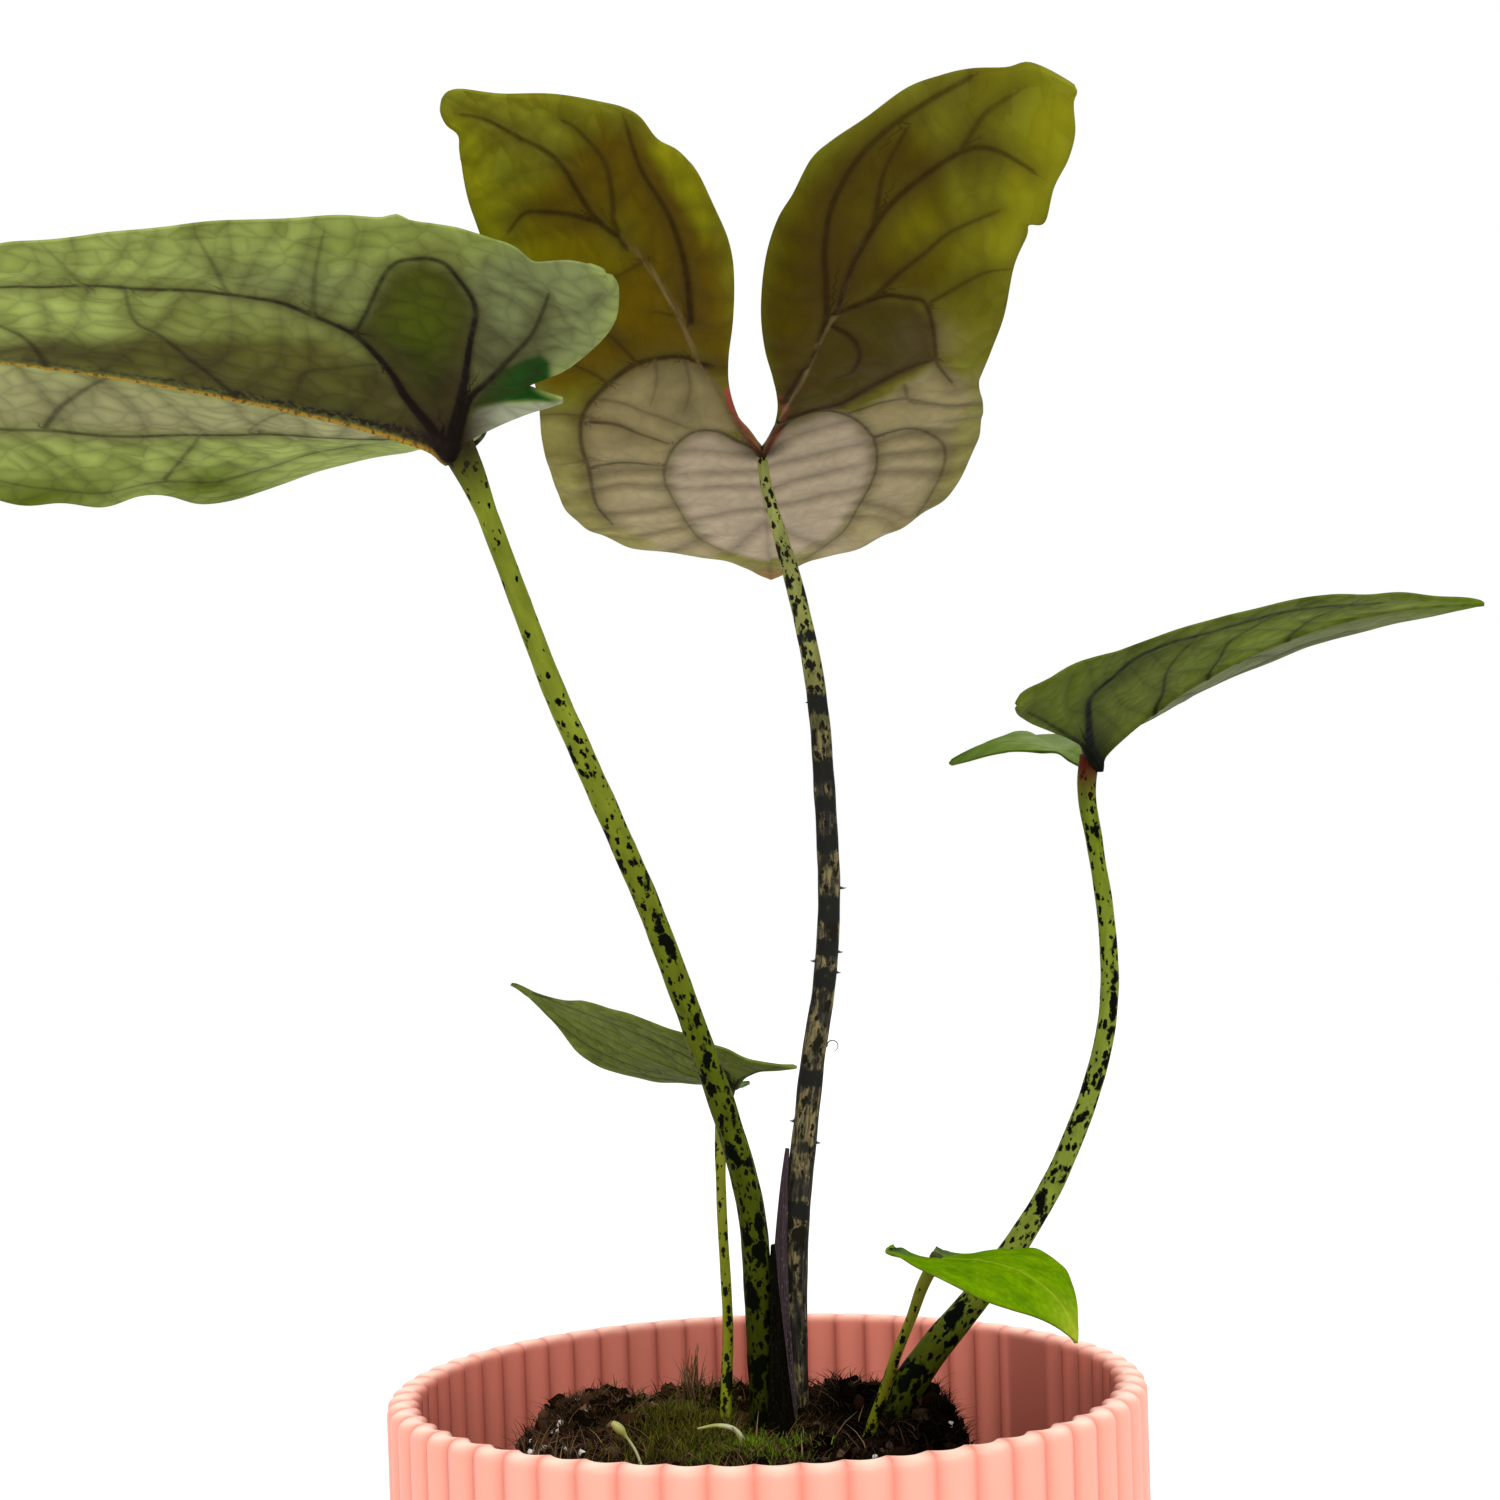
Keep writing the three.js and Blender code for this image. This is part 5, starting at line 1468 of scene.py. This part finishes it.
def leaf_under(
    name, light, deep, tints, vein_colour, vein_depth=1.0, halo_depth=0.16, cell=4.5, quilt_shade_and_bump=0.8,
    orange=False, size=1.0, halo_colour=None,
):
    """The underside of a leaf: quilted cells with a bump, painted shade at their seams and painted highlight
    in their middles; soft dark veins with halos partly of painted shade; painted shade along the rungs and
    painted highlight forward of them; and zones of tint.
    """
    tree, shader = new_material(name, 0.62, Specular_IOR_Level=0.03)
    place = field(tree, "leaf_place", True)
    warp = node(tree, "TexNoise", {"Vector": place, "Scale": 0.12 / size, "Detail": 1.0}).outputs["Color"]
    warp = node(tree, "VectorMath", {0: warp, "Scale": 4.0 * size}, operation="SCALE").outputs[0]
    shifted = node(tree, "VectorMath", {0: place, 1: warp}).outputs[0]
    seam = cells(tree, shifted, 1.0 / cell, "DISTANCE_TO_EDGE", (1.25, 0.85, 1))
    tone = node(tree, "SeparateColor", {0: cells(tree, shifted, 1.0 / cell, "F1", (1.25, 0.85, 1), "Color")})
    patches = spread_noise(tree, place, 0.08 / size, 4.0)
    blotch = spread_noise(tree, shifted, 0.32 / size, 3.0, (1.0, 0.6, 1))
    body = times(tree, patches, 0.9)
    body = math_node(tree, "ADD", body, times(tree, tone.outputs[0], 0.25))
    base = mix(tree, ramp(tree, body, [(0.38, 0.0), (0.75, 1.0)]), light, deep)
    for kind, value in tints:
        base = mix(tree, field(tree, "tint_" + kind), base, value)
    # Painted shade at the seams of the quilted cells and painted highlight in their middles.
    painted_cell_shade = ramp(tree, seam, [(0.0, 0.66), (0.10, 0.88), (0.24, 1.04), (0.45, 1.14)])
    base = mix(tree, quilt_shade_and_bump, base, painted_cell_shade, "MULTIPLY")
    base = mix(tree, 0.3, base, ramp(tree, blotch, [(0.3, 0.78), (0.5, 1.0), (0.7, 1.18)]), "MULTIPLY")
    # Painted shade where the pillows dip at the veins and rungs, and painted highlight on their crowns.
    painted_pillow_shade = ramp(tree, field(tree, "pillow"), [(0.0, 0.66), (0.5, 0.97), (1.0, 1.10)])
    base = mix(tree, 0.35, base, painted_pillow_shade, "MULTIPLY")
    # Painted highlight in a band forward of each rung.
    base = mix(tree, 1.0, base, ramp(tree, field(tree, "painted_rung_highlight"), [(0.0, 1.0), (0.5, 1.3)]), "MULTIPLY")
    # Painted shade along the rungs, and dark halos beside the veins that are partly their own stain and
    # partly painted shade.
    for key, depth in (("rungs", 0.9), ("halo", halo_depth)):
        shade = times(tree, field(tree, key), depth * vein_depth, True)
        base = mix(tree, shade, base, halo_colour or vein_colour)
    breakup = ramp(tree, spread_noise(tree, place, 0.5 / size, 3.0), [(0.3, 0.75), (0.6, 1.0)])
    sides = node(tree, "SeparateXYZ", {0: field(tree, "lines", True)})
    powers = node(tree, "SeparateXYZ", {0: field(tree, "powers", True)})
    for index, depth in ((1, 0.9), (0, 1.15)):
        away = times(tree, math_node(tree, "ABSOLUTE", sides.outputs[index]), 0.5)
        line = ramp(tree, away, [(0.0, 1.0), (0.28, 0.9), (0.55, 0.3), (1.0, 0.0)])
        line = times(tree, times(tree, line, powers.outputs[index]), breakup)
        base = mix(tree, times(tree, line, depth * vein_depth, True), base, vein_colour)
    if orange:
        beside = times(tree, field(tree, "beside"), field(tree, "fade"))
        speck = ramp(tree, spread_noise(tree, place, 0.9, 2.0), [(0.35, 0.3), (0.6, 1.0)])
        beside = times(tree, times(tree, beside, speck), 1.5, True)
        base = mix(tree, beside, base, (0.018, 0.012, 0.010))
        spine = ramp(tree, field(tree, "middle"), [(0.3, 0.0), (0.75, 1.0)])
        marks = ramp(tree, spread_noise(tree, place, 1.2, 2.0), [(0.5, 0.0), (0.62, 0.8)])
        golden = mix(tree, marks, (0.36, 0.21, 0.022), (0.05, 0.030, 0.012))
        base = mix(tree, spine, base, golden)
    else:
        base = mix(tree, times(tree, field(tree, "middle"), 0.2), base, vein_colour)
    base = mix(tree, times(tree, field(tree, "notch"), 0.85, True), base, vein_colour)
    height = ramp(tree, seam, [(0.0, 0.0), (0.4, 1.0)], True)
    finish(tree, shader, base, height, 0.2 + 0.4 * quilt_shade_and_bump, 0.8)


def leaf_upper(name, light, deep, pale, size=1.0, ring=None, stain=1.0):
    tree, shader = new_material(name, 0.5, Specular_IOR_Level=0.0 if size < 1 else 0.02)
    place = field(tree, "leaf_place", True)
    patches = spread_noise(tree, place, 0.08 / size, 4.0)
    base = mix(tree, ramp(tree, patches, [(0.35, 0.0), (0.7, 1.0)]), light, deep)
    small = cells(tree, place, 0.4 / size)
    for kind, value in (("pale", pale), ("fresh", pale), ("olive", deep), ("dark", (0.060, 0.085, 0.040))):
        base = mix(tree, times(tree, field(tree, "tint_" + kind), stain), base, value)
    if ring is not None:
        base = mix(tree, field(tree, "tint_ring"), base, ring)
    base = mix(tree, 0.6, base, ramp(tree, small, [(0.1, 1.1), (0.8, 0.7)]), "MULTIPLY")
    base = mix(tree, times(tree, field(tree, "relief"), 0.4), base, pale)
    base = mix(tree, times(tree, field(tree, "middle"), 0.5), base, pale)
    finish(tree, shader, base, small, 0.3, 0.4)


def dots(tree, place, pitch, cover, reach, stretch=0.55):
    """Dark marks of uneven shape: one cell in so many holds one, and reach is its size in cells."""
    for scale, amount in ((0.9, 1.2), (2.6, 0.5)):
        warp = node(tree, "TexNoise", {"Vector": place, "Scale": scale / pitch, "Detail": 2.0})
        warp = {0: warp.outputs["Color"], "Scale": amount * pitch}
        warp = node(tree, "VectorMath", warp, operation="SCALE").outputs[0]
        place = node(tree, "VectorMath", {0: place, 1: warp}).outputs[0]
    gap = cells(tree, place, 1.0 / pitch, "F1", (1, 1, stretch))
    chance = node(tree, "SeparateColor", {0: cells(tree, place, 1.0 / pitch, "F1", (1, 1, stretch), "Color")})
    held = math_node(tree, "GREATER_THAN", cover, chance.outputs[0])
    size = times(tree, math_node(tree, "ADD", chance.outputs[1], 0.6), reach)
    depth = times(tree, math_node(tree, "SUBTRACT", size, gap), 7.0, True)
    return times(tree, held, depth)


def stalk_skin(name, tones_with_foot_shade, spot, fine, coarse, top=None, slate=None):
    """Green skin with dark dots and blotches, denser towards the foot, over tones that darken towards the
    foot, which is painted shade where the pot shades it; the dots there are partly the skin's own mottling
    and partly painted shade. fine and coarse are how many there are, by the share of the length."""
    tree, shader = new_material(name, 0.45, Specular_IOR_Level=0.015)
    skin = field(tree, "skin", True)
    along = field(tree, "along")
    tone = spread_noise(tree, skin, 0.5, 3.0, (1, 1, 0.3))
    base = ramp(tree, along, tones_with_foot_shade)
    base = mix(tree, 0.8, base, ramp(tree, tone, [(0.3, 0.70), (0.7, 1.22)]), "MULTIPLY")
    streaks = spread_noise(tree, skin, 1.6, 3.0, (1, 1, 0.14))
    if slate is not None:
        old = ramp(tree, along, [(0.70, 1.0), (0.80, 0.0)])
        lit = ramp(tree, streaks, [(0.40, 0.0), (0.58, 1.0)])
        tan = mix(tree, lit, (0.030, 0.025, 0.015), (0.19, 0.155, 0.070))
        lit = ramp(tree, streaks, [(0.45, 0.0), (0.70, 1.0)])
        grey = mix(tree, lit, (0.018, 0.017, 0.014), (0.060, 0.054, 0.038))
        patch = spread_noise(tree, skin, 0.30, 4.0, (1, 1, 0.6), 0.65)
        bark = mix(tree, ramp(tree, patch, [(0.47, 0.0), (0.56, 1.0)]), grey, tan)
        base = mix(tree, old, base, bark)
    marks = dots(tree, skin, 0.95, ramp(tree, along, fine), 0.42)
    large = dots(tree, skin, 2.4, ramp(tree, along, coarse), 0.50)
    marks = math_node(tree, "MAXIMUM", marks, large)
    base = mix(tree, marks, base, spot)
    if slate is not None:
        ragged = times(tree, spread_noise(tree, skin, 0.7, 4.0, (1, 1, 0.5)), 1.6)
        ring = math_node(tree, "SUBTRACT", math_node(tree, "ADD", field(tree, "band"), ragged), 1.35)
        base = mix(tree, times(tree, ring, 3.5, True), base, slate)
    if top is not None:
        base = mix(tree, ramp(tree, along, [(0.945, 0.0), (0.985, 0.95)]), base, top)
    finish(tree, shader, base, streaks, 0.25, 0.3)


def make_materials():
    leaf_under(
        "under_left",
        light=(0.330, 0.405, 0.100),
        deep=(0.215, 0.265, 0.056),
        tints=[
            ("warm", (0.068, 0.061, 0.009)),
            ("brown", (0.160, 0.185, 0.075)),
            ("olive", (0.042, 0.052, 0.001)),
            ("pale", (0.300, 0.285, 0.145)),
            ("ring", (0.330, 0.350, 0.230)),
            ("fresh", (0.085, 0.120, 0.002)),
            # This leaf's green tint is painted shade between its lobes.
            ("green", (0.001, 0.062, 0.003)),
            ("dark", (0.010, 0.009, 0.003)),
        ],
        vein_colour=(0.008, 0.005, 0.003),
        halo_colour=(0.045, 0.032, 0.012),
        halo_depth=0.55,
        cell=4.4,
        quilt_shade_and_bump=0.7,
        orange=True,
    )
    leaf_under(
        "under_back",
        light=(0.182, 0.186, 0.012),
        deep=(0.138, 0.130, 0.004),
        tints=[
            ("green", (0.238, 0.214, 0.056)),
            ("ring", (0.290, 0.236, 0.110)),
            ("olive", (0.068, 0.050, 0.000)),
            ("brown", (0.112, 0.072, 0.000)),
            ("warm", (0.150, 0.115, 0.001)),
            ("fresh", (0.230, 0.225, 0.003)),
            ("dark", (0.022, 0.011, 0.001)),
            ("pale", (0.348, 0.279, 0.186)),
            ("red", (0.400, 0.055, 0.045)),
            ("tan", (0.340, 0.250, 0.100)),
        ],
        vein_colour=(0.022, 0.011, 0.002),
        halo_colour=(0.056, 0.033, 0.007),
        vein_depth=0.9,
        halo_depth=0.72,
        cell=4.6,
        quilt_shade_and_bump=0.24,
    )
    leaf_under(
        "under_right",
        light=(0.150, 0.190, 0.026),
        deep=(0.085, 0.112, 0.009),
        tints=[
            ("warm", (0.072, 0.090, 0.010)),
            ("pale", (0.115, 0.132, 0.056)),
            ("fresh", (0.100, 0.160, 0.006)),
            ("green", (0.045, 0.125, 0.004)),
            ("dark", (0.004, 0.004, 0.001)),
        ],
        vein_colour=(0.004, 0.005, 0.002),
        halo_colour=(0.020, 0.026, 0.006),
        halo_depth=0.5,
        cell=4.0,
        quilt_shade_and_bump=0.45,
    )
    leaf_under(
        "under_small",
        light=(0.150, 0.195, 0.030),
        deep=(0.105, 0.135, 0.020),
        tints=[("fresh", (0.110, 0.190, 0.020))],
        vein_colour=(0.012, 0.018, 0.005),
        cell=2.2,
        quilt_shade_and_bump=0.3,
        size=0.5,
    )
    leaf_under(
        "under_young",
        light=(0.150, 0.250, 0.004),
        deep=(0.105, 0.190, 0.003),
        tints=[("fresh", (0.300, 0.330, 0.030))],
        vein_colour=(0.090, 0.160, 0.006),
        cell=2.5,
        quilt_shade_and_bump=0.3,
        size=0.5,
    )
    greens = ((0.050, 0.120, 0.010), (0.025, 0.070, 0.006), (0.130, 0.190, 0.030))
    leaf_upper("upper", *greens)
    leaf_upper("upper_left", *greens, ring=(0.170, 0.195, 0.090), stain=0.2)
    leaf_upper("upper_back", *greens, stain=0.12)
    leaf_upper(
        "upper_young", (0.145, 0.270, 0.001), (0.070, 0.165, 0.001), (0.280, 0.350, 0.020), 0.5
    )
    spot = (0.002, 0.003, 0.001)
    # The darkest tones at the stalks' feet are painted shade where the pot shades them; the dark marks there
    # are partly painted shade too.
    stalk_skin(
        "stalk_left_skin",
        [
            (0.0, (0.014, 0.018, 0.001)), (0.18, (0.022, 0.028, 0.001)), (0.32, (0.050, 0.064, 0.003)),
            (0.48, (0.078, 0.098, 0.005)), (0.62, (0.120, 0.145, 0.010)), (0.76, (0.175, 0.210, 0.018)),
            (1.0, (0.175, 0.205, 0.018)),
        ],
        spot,
        [
            (0.0, 0.95), (0.2, 0.9), (0.35, 0.75), (0.5, 0.7), (0.7, 0.55), (0.85, 0.3), (0.93, 0.2),
            (1.0, 0.7),
        ],
        [(0.0, 0.9), (0.2, 0.8), (0.32, 0.5), (0.5, 0.45), (0.65, 0.35), (0.78, 0.2), (0.9, 0.0)],
        top=(0.026, 0.020, 0.008),
    )
    stalk_skin(
        "stalk_back_skin",
        [
            (0.0, (0.05, 0.04, 0.02)), (0.7, (0.13, 0.12, 0.04)), (0.82, (0.24, 0.25, 0.07)),
            (1.0, (0.27, 0.28, 0.08)),
        ],
        (0.012, 0.011, 0.006),
        [(0.0, 0.3), (0.6, 0.4), (0.75, 0.85), (0.92, 0.85), (1.0, 0.55)],
        [(0.0, 0.25), (0.6, 0.3), (0.8, 0.5), (0.92, 0.35), (1.0, 0.0)],
        slate=(0.014, 0.014, 0.012),
    )
    stalk_skin(
        "stalk_right_skin",
        [
            (0.0, (0.008, 0.010, 0.001)), (0.15, (0.013, 0.017, 0.001)), (0.28, (0.060, 0.076, 0.005)),
            (0.42, (0.160, 0.200, 0.024)), (0.6, (0.150, 0.188, 0.026)), (0.9, (0.140, 0.180, 0.012)),
            (1.0, (0.10, 0.12, 0.020)),
        ],
        spot,
        [(0.0, 0.95), (0.35, 0.7), (0.6, 0.65), (0.9, 0.6), (1.0, 0.75)],
        [(0.0, 0.95), (0.2, 0.85), (0.3, 0.7), (0.45, 0.5), (0.62, 0.5), (0.75, 0.3), (1.0, 0.05)],
        top=(0.070, 0.008, 0.006),
    )
    stalk_skin(
        "stalk_small_skin",
        [(0.0, (0.13, 0.15, 0.006)), (0.5, (0.20, 0.225, 0.012)), (1.0, (0.19, 0.210, 0.025))],
        (0.006, 0.009, 0.002),
        [(0.0, 0.7), (0.5, 0.8), (1.0, 0.5)],
        [(0.0, 0.35), (0.5, 0.25), (1.0, 0.0)],
        top=(0.030, 0.028, 0.010),
    )

    tree, shader = new_material("thorn", 0.6, Specular_IOR_Level=0.2)
    place = object_place(tree)
    base = mix(tree, spread_noise(tree, place, 900.0, 2.0), (0.012, 0.011, 0.009), (0.10, 0.09, 0.06))
    finish(tree, shader, base)

    # The sheaths of the left and right stalks are near black: their own dark colour and painted shade where
    # they stand in shadow.
    for name, plain, second, specks in (
        ("sheath", (0.002, 0.002, 0.001), (0.006, 0.005, 0.003), (0.020, 0.020, 0.010)),
        ("sheath_back", (0.062, 0.043, 0.047), (0.026, 0.018, 0.020), (0.16, 0.13, 0.14)),
    ):
        tree, shader = new_material(name, 0.6, Specular_IOR_Level=0.0)
        skin = field(tree, "skin", True)
        fibre = spread_noise(tree, skin, 1.2, 3.0, (1, 0.15, 1))
        speck = spread_noise(tree, skin, 1.6, 2.0)
        base = mix(tree, ramp(tree, fibre, [(0.35, 0.0), (0.7, 1.0)]), plain, second)
        base = mix(tree, ramp(tree, speck, [(0.60, 0.0), (0.66, 0.6)]), base, specks)
        finish(tree, shader, base, fibre, 0.4, 0.3)

    tree, shader = new_material("pot", 0.42, Specular_IOR_Level=0.25)
    place = object_place(tree)
    cloud = spread_noise(tree, place, 28.0, 3.0)
    cloud = ramp(tree, cloud, [(0.3, 0.0), (0.7, 1.0)])
    base = mix(tree, cloud, (0.840, 0.360, 0.275), (0.790, 0.325, 0.240))
    # Painted shade in the grooves of the flutes, outside, and along the fold lines of the inner wall.
    painted_groove_shade = ramp(tree, field(tree, "groove"), [(0.0, 0.0), (0.45, 0.12), (0.8, 0.55), (1.0, 1.0)])
    base = mix(tree, times(tree, painted_groove_shade, 0.55), base, (0.56, 0.13, 0.085))
    # The inner wall: the clay painted darker and redder as painted shade inside the pot, with painted shade
    # lines at its folds and more painted shade on its flanks.
    lining = mix(tree, painted_groove_shade, (0.78, 0.240, 0.170), (0.40, 0.090, 0.060))
    lining = mix(tree, field(tree, "painted_flank_shade"), lining, (0.33, 0.070, 0.046))
    base = mix(tree, field(tree, "inner"), base, lining)
    # Painted highlight: the rim lightened to cream on its ridges.
    base = mix(tree, field(tree, "rim"), base, (1.0, 0.70, 0.55))
    grain = spread_noise(tree, place, 2400.0, 2.0)
    finish(tree, shader, base, grain, 0.05, 0.05)

    tree, shader = new_material("soil", 0.95, Specular_IOR_Level=0.0)
    place = object_place(tree)
    patches = spread_noise(tree, place, 160.0, 5.0)
    grains = spread_noise(tree, place, 1500.0, 3.0)
    patches = ramp(tree, patches, [(0.35, 0.0), (0.65, 1.0)])
    base = mix(tree, patches, (0.006, 0.003, 0.001), (0.024, 0.012, 0.006))
    mossy = ramp(tree, spread_noise(tree, place, 60.0, 2.0), [(0.5, 0.0), (0.65, 0.5)])
    base = mix(tree, mossy, base, (0.018, 0.018, 0.004))
    finish(tree, shader, darker_right(tree, base), grains, 0.6, 0.8)

    tree, shader = new_material("crumbs", 0.95, Specular_IOR_Level=0.0)
    stops = [
        (0.0, (0.003, 0.002, 0.001)), (0.65, (0.014, 0.007, 0.003)), (0.9, (0.050, 0.024, 0.012)),
        (1.0, (0.18, 0.115, 0.065)),
    ]
    base = darker_right(tree, ramp(tree, field(tree, "tone"), stops))
    finish(tree, shader, base, spread_noise(tree, object_place(tree), 1800.0, 2.0), 0.5, 0.6)

    tree, shader = new_material("perlite", 0.8)
    base = ramp(tree, field(tree, "tone"), [(0.0, (0.45, 0.42, 0.36)), (1.0, (0.72, 0.70, 0.64))])
    finish(tree, shader, base, spread_noise(tree, object_place(tree), 1500.0, 2.0), 0.4, 0.5)

    for name, low, high in (
        ("moss_bright", (0.022, 0.050, 0.002), (0.170, 0.270, 0.012)),
        ("moss_brown", (0.007, 0.008, 0.001), (0.140, 0.130, 0.014)),
        ("fibre", (0.005, 0.003, 0.001), (0.150, 0.082, 0.044)),
        ("fibre_dark", (0.003, 0.003, 0.001), (0.036, 0.032, 0.012)),
        ("dry", (0.040, 0.022, 0.008), (0.260, 0.155, 0.075)),
    ):
        tree, shader = new_material(name, 0.8, Specular_IOR_Level=0.02)
        pick = ramp(tree, field(tree, "tone"), [(0.0, 0.0), (0.6, 0.2), (1.0, 1.0)])
        base = mix(tree, pick, low, high)
        base = mix(tree, times(tree, field(tree, "tip"), 0.3), base, high)
        finish(tree, shader, darker_right(tree, base) if "fibre" in name else base)

    tree, shader = new_material("shoot", 0.5)
    stops = [
        (0.0, (0.40, 0.43, 0.20)), (0.75, (0.44, 0.46, 0.24)), (0.86, (0.30, 0.32, 0.07)),
        (1.0, (0.34, 0.33, 0.08)),
    ]
    base = ramp(tree, field(tree, "along"), stops)
    finish(tree, shader, base, spread_noise(tree, field(tree, "skin", True), 1.0, 2.0), 0.1, 0.2)

    tree, shader = new_material("root", 0.9)
    place = object_place(tree)
    bark = spread_noise(tree, place, 300.0, 4.0)
    base = mix(tree, bark, (0.06, 0.035, 0.02), (0.16, 0.10, 0.055))
    finish(tree, shader, base, bark, 0.5, 0.6)


# Stage
def build_stage():
    yaw, pitch, roll = (math.radians(value) for value in (CAMERA_YAW, CAMERA_PITCH, CAMERA_ROLL))
    forward = Vector((math.sin(yaw) * math.cos(pitch), math.cos(yaw) * math.cos(pitch), math.sin(pitch)))
    level = Vector((math.cos(yaw), -math.sin(yaw), 0))
    above = level.cross(forward)
    right = level * math.cos(roll) + above * math.sin(roll)
    up = above * math.cos(roll) - level * math.sin(roll)
    data = bpy.data.cameras.new("camera")
    data.sensor_width = 36
    data.lens = CAMERA_LENS
    data.clip_start = 0.01
    camera = bpy.data.objects.new("camera", data)
    turn = Matrix((right, up, -forward)).transposed().to_4x4()
    camera.matrix_world = Matrix.Translation(Vector(CAMERA_PLACE) * MM) @ turn
    scene.collection.objects.link(camera)
    scene.camera = camera

    floor_mesh = bpy.data.meshes.new("floor")
    floor_mesh.from_pydata([(-40, -40, 0), (40, -40, 0), (40, 40, 0), (-40, 40, 0)], [], [(0, 1, 2, 3)])
    floor = bpy.data.objects.new("floor", floor_mesh)
    floor.location.z = -0.0002
    scene.collection.objects.link(floor)
    _, shader = new_material("floor", 0.9)
    shader.inputs["Base Color"].default_value = (0.80, 0.80, 0.80, 1.0)
    floor_mesh.materials.append(MATERIALS["floor"])

    world = bpy.data.worlds.new("studio")
    world.use_nodes = True
    world.node_tree.nodes["Background"].inputs[0].default_value = (1.0, 1.0, 1.0, 1.0)
    world.node_tree.nodes["Background"].inputs[1].default_value = 1.0
    scene.world = world
    for name, place, angle, power in (("key", (0.08, -0.8, 1.0), 30, 1.8), ("rim", (0.4, 0.9, 1.0), 40, 0.4)):
        light = bpy.data.lights.new(name, "SUN")
        light.angle = math.radians(angle)
        light.energy = power
        lamp = bpy.data.objects.new(name, light)
        lamp.location = place
        lamp.rotation_euler = Vector(place).to_track_quat("Z", "Y").to_euler()
        scene.collection.objects.link(lamp)
    scene.view_settings.view_transform = "Standard"


make_materials()
build_stage()
build_pot()
build_soil()
build_litter()
build_moss()
for leaf in LEAVES:
    build_leaf(leaf)
for name, stalk in STALKS.items():
    build_stalk(name, stalk)
build_thorns()
for name, sheath in SHEATHS.items():
    build_sheath(name, *sheath)
for name, shoot in SEEDLINGS.items():
    points, faces, skin, along = tube(shoot["route"], shoot["radii"], 16, 60, rough=0.05)
    fields = {"skin": skin, "along": along}
    make_piece(name + "_skin", points, faces, MATERIALS["shoot"], fields, [name])
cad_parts["rootstock"].data.materials.clear()
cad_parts["rootstock"].data.materials.append(MATERIALS["root"])

bpy.context.view_layer.update()
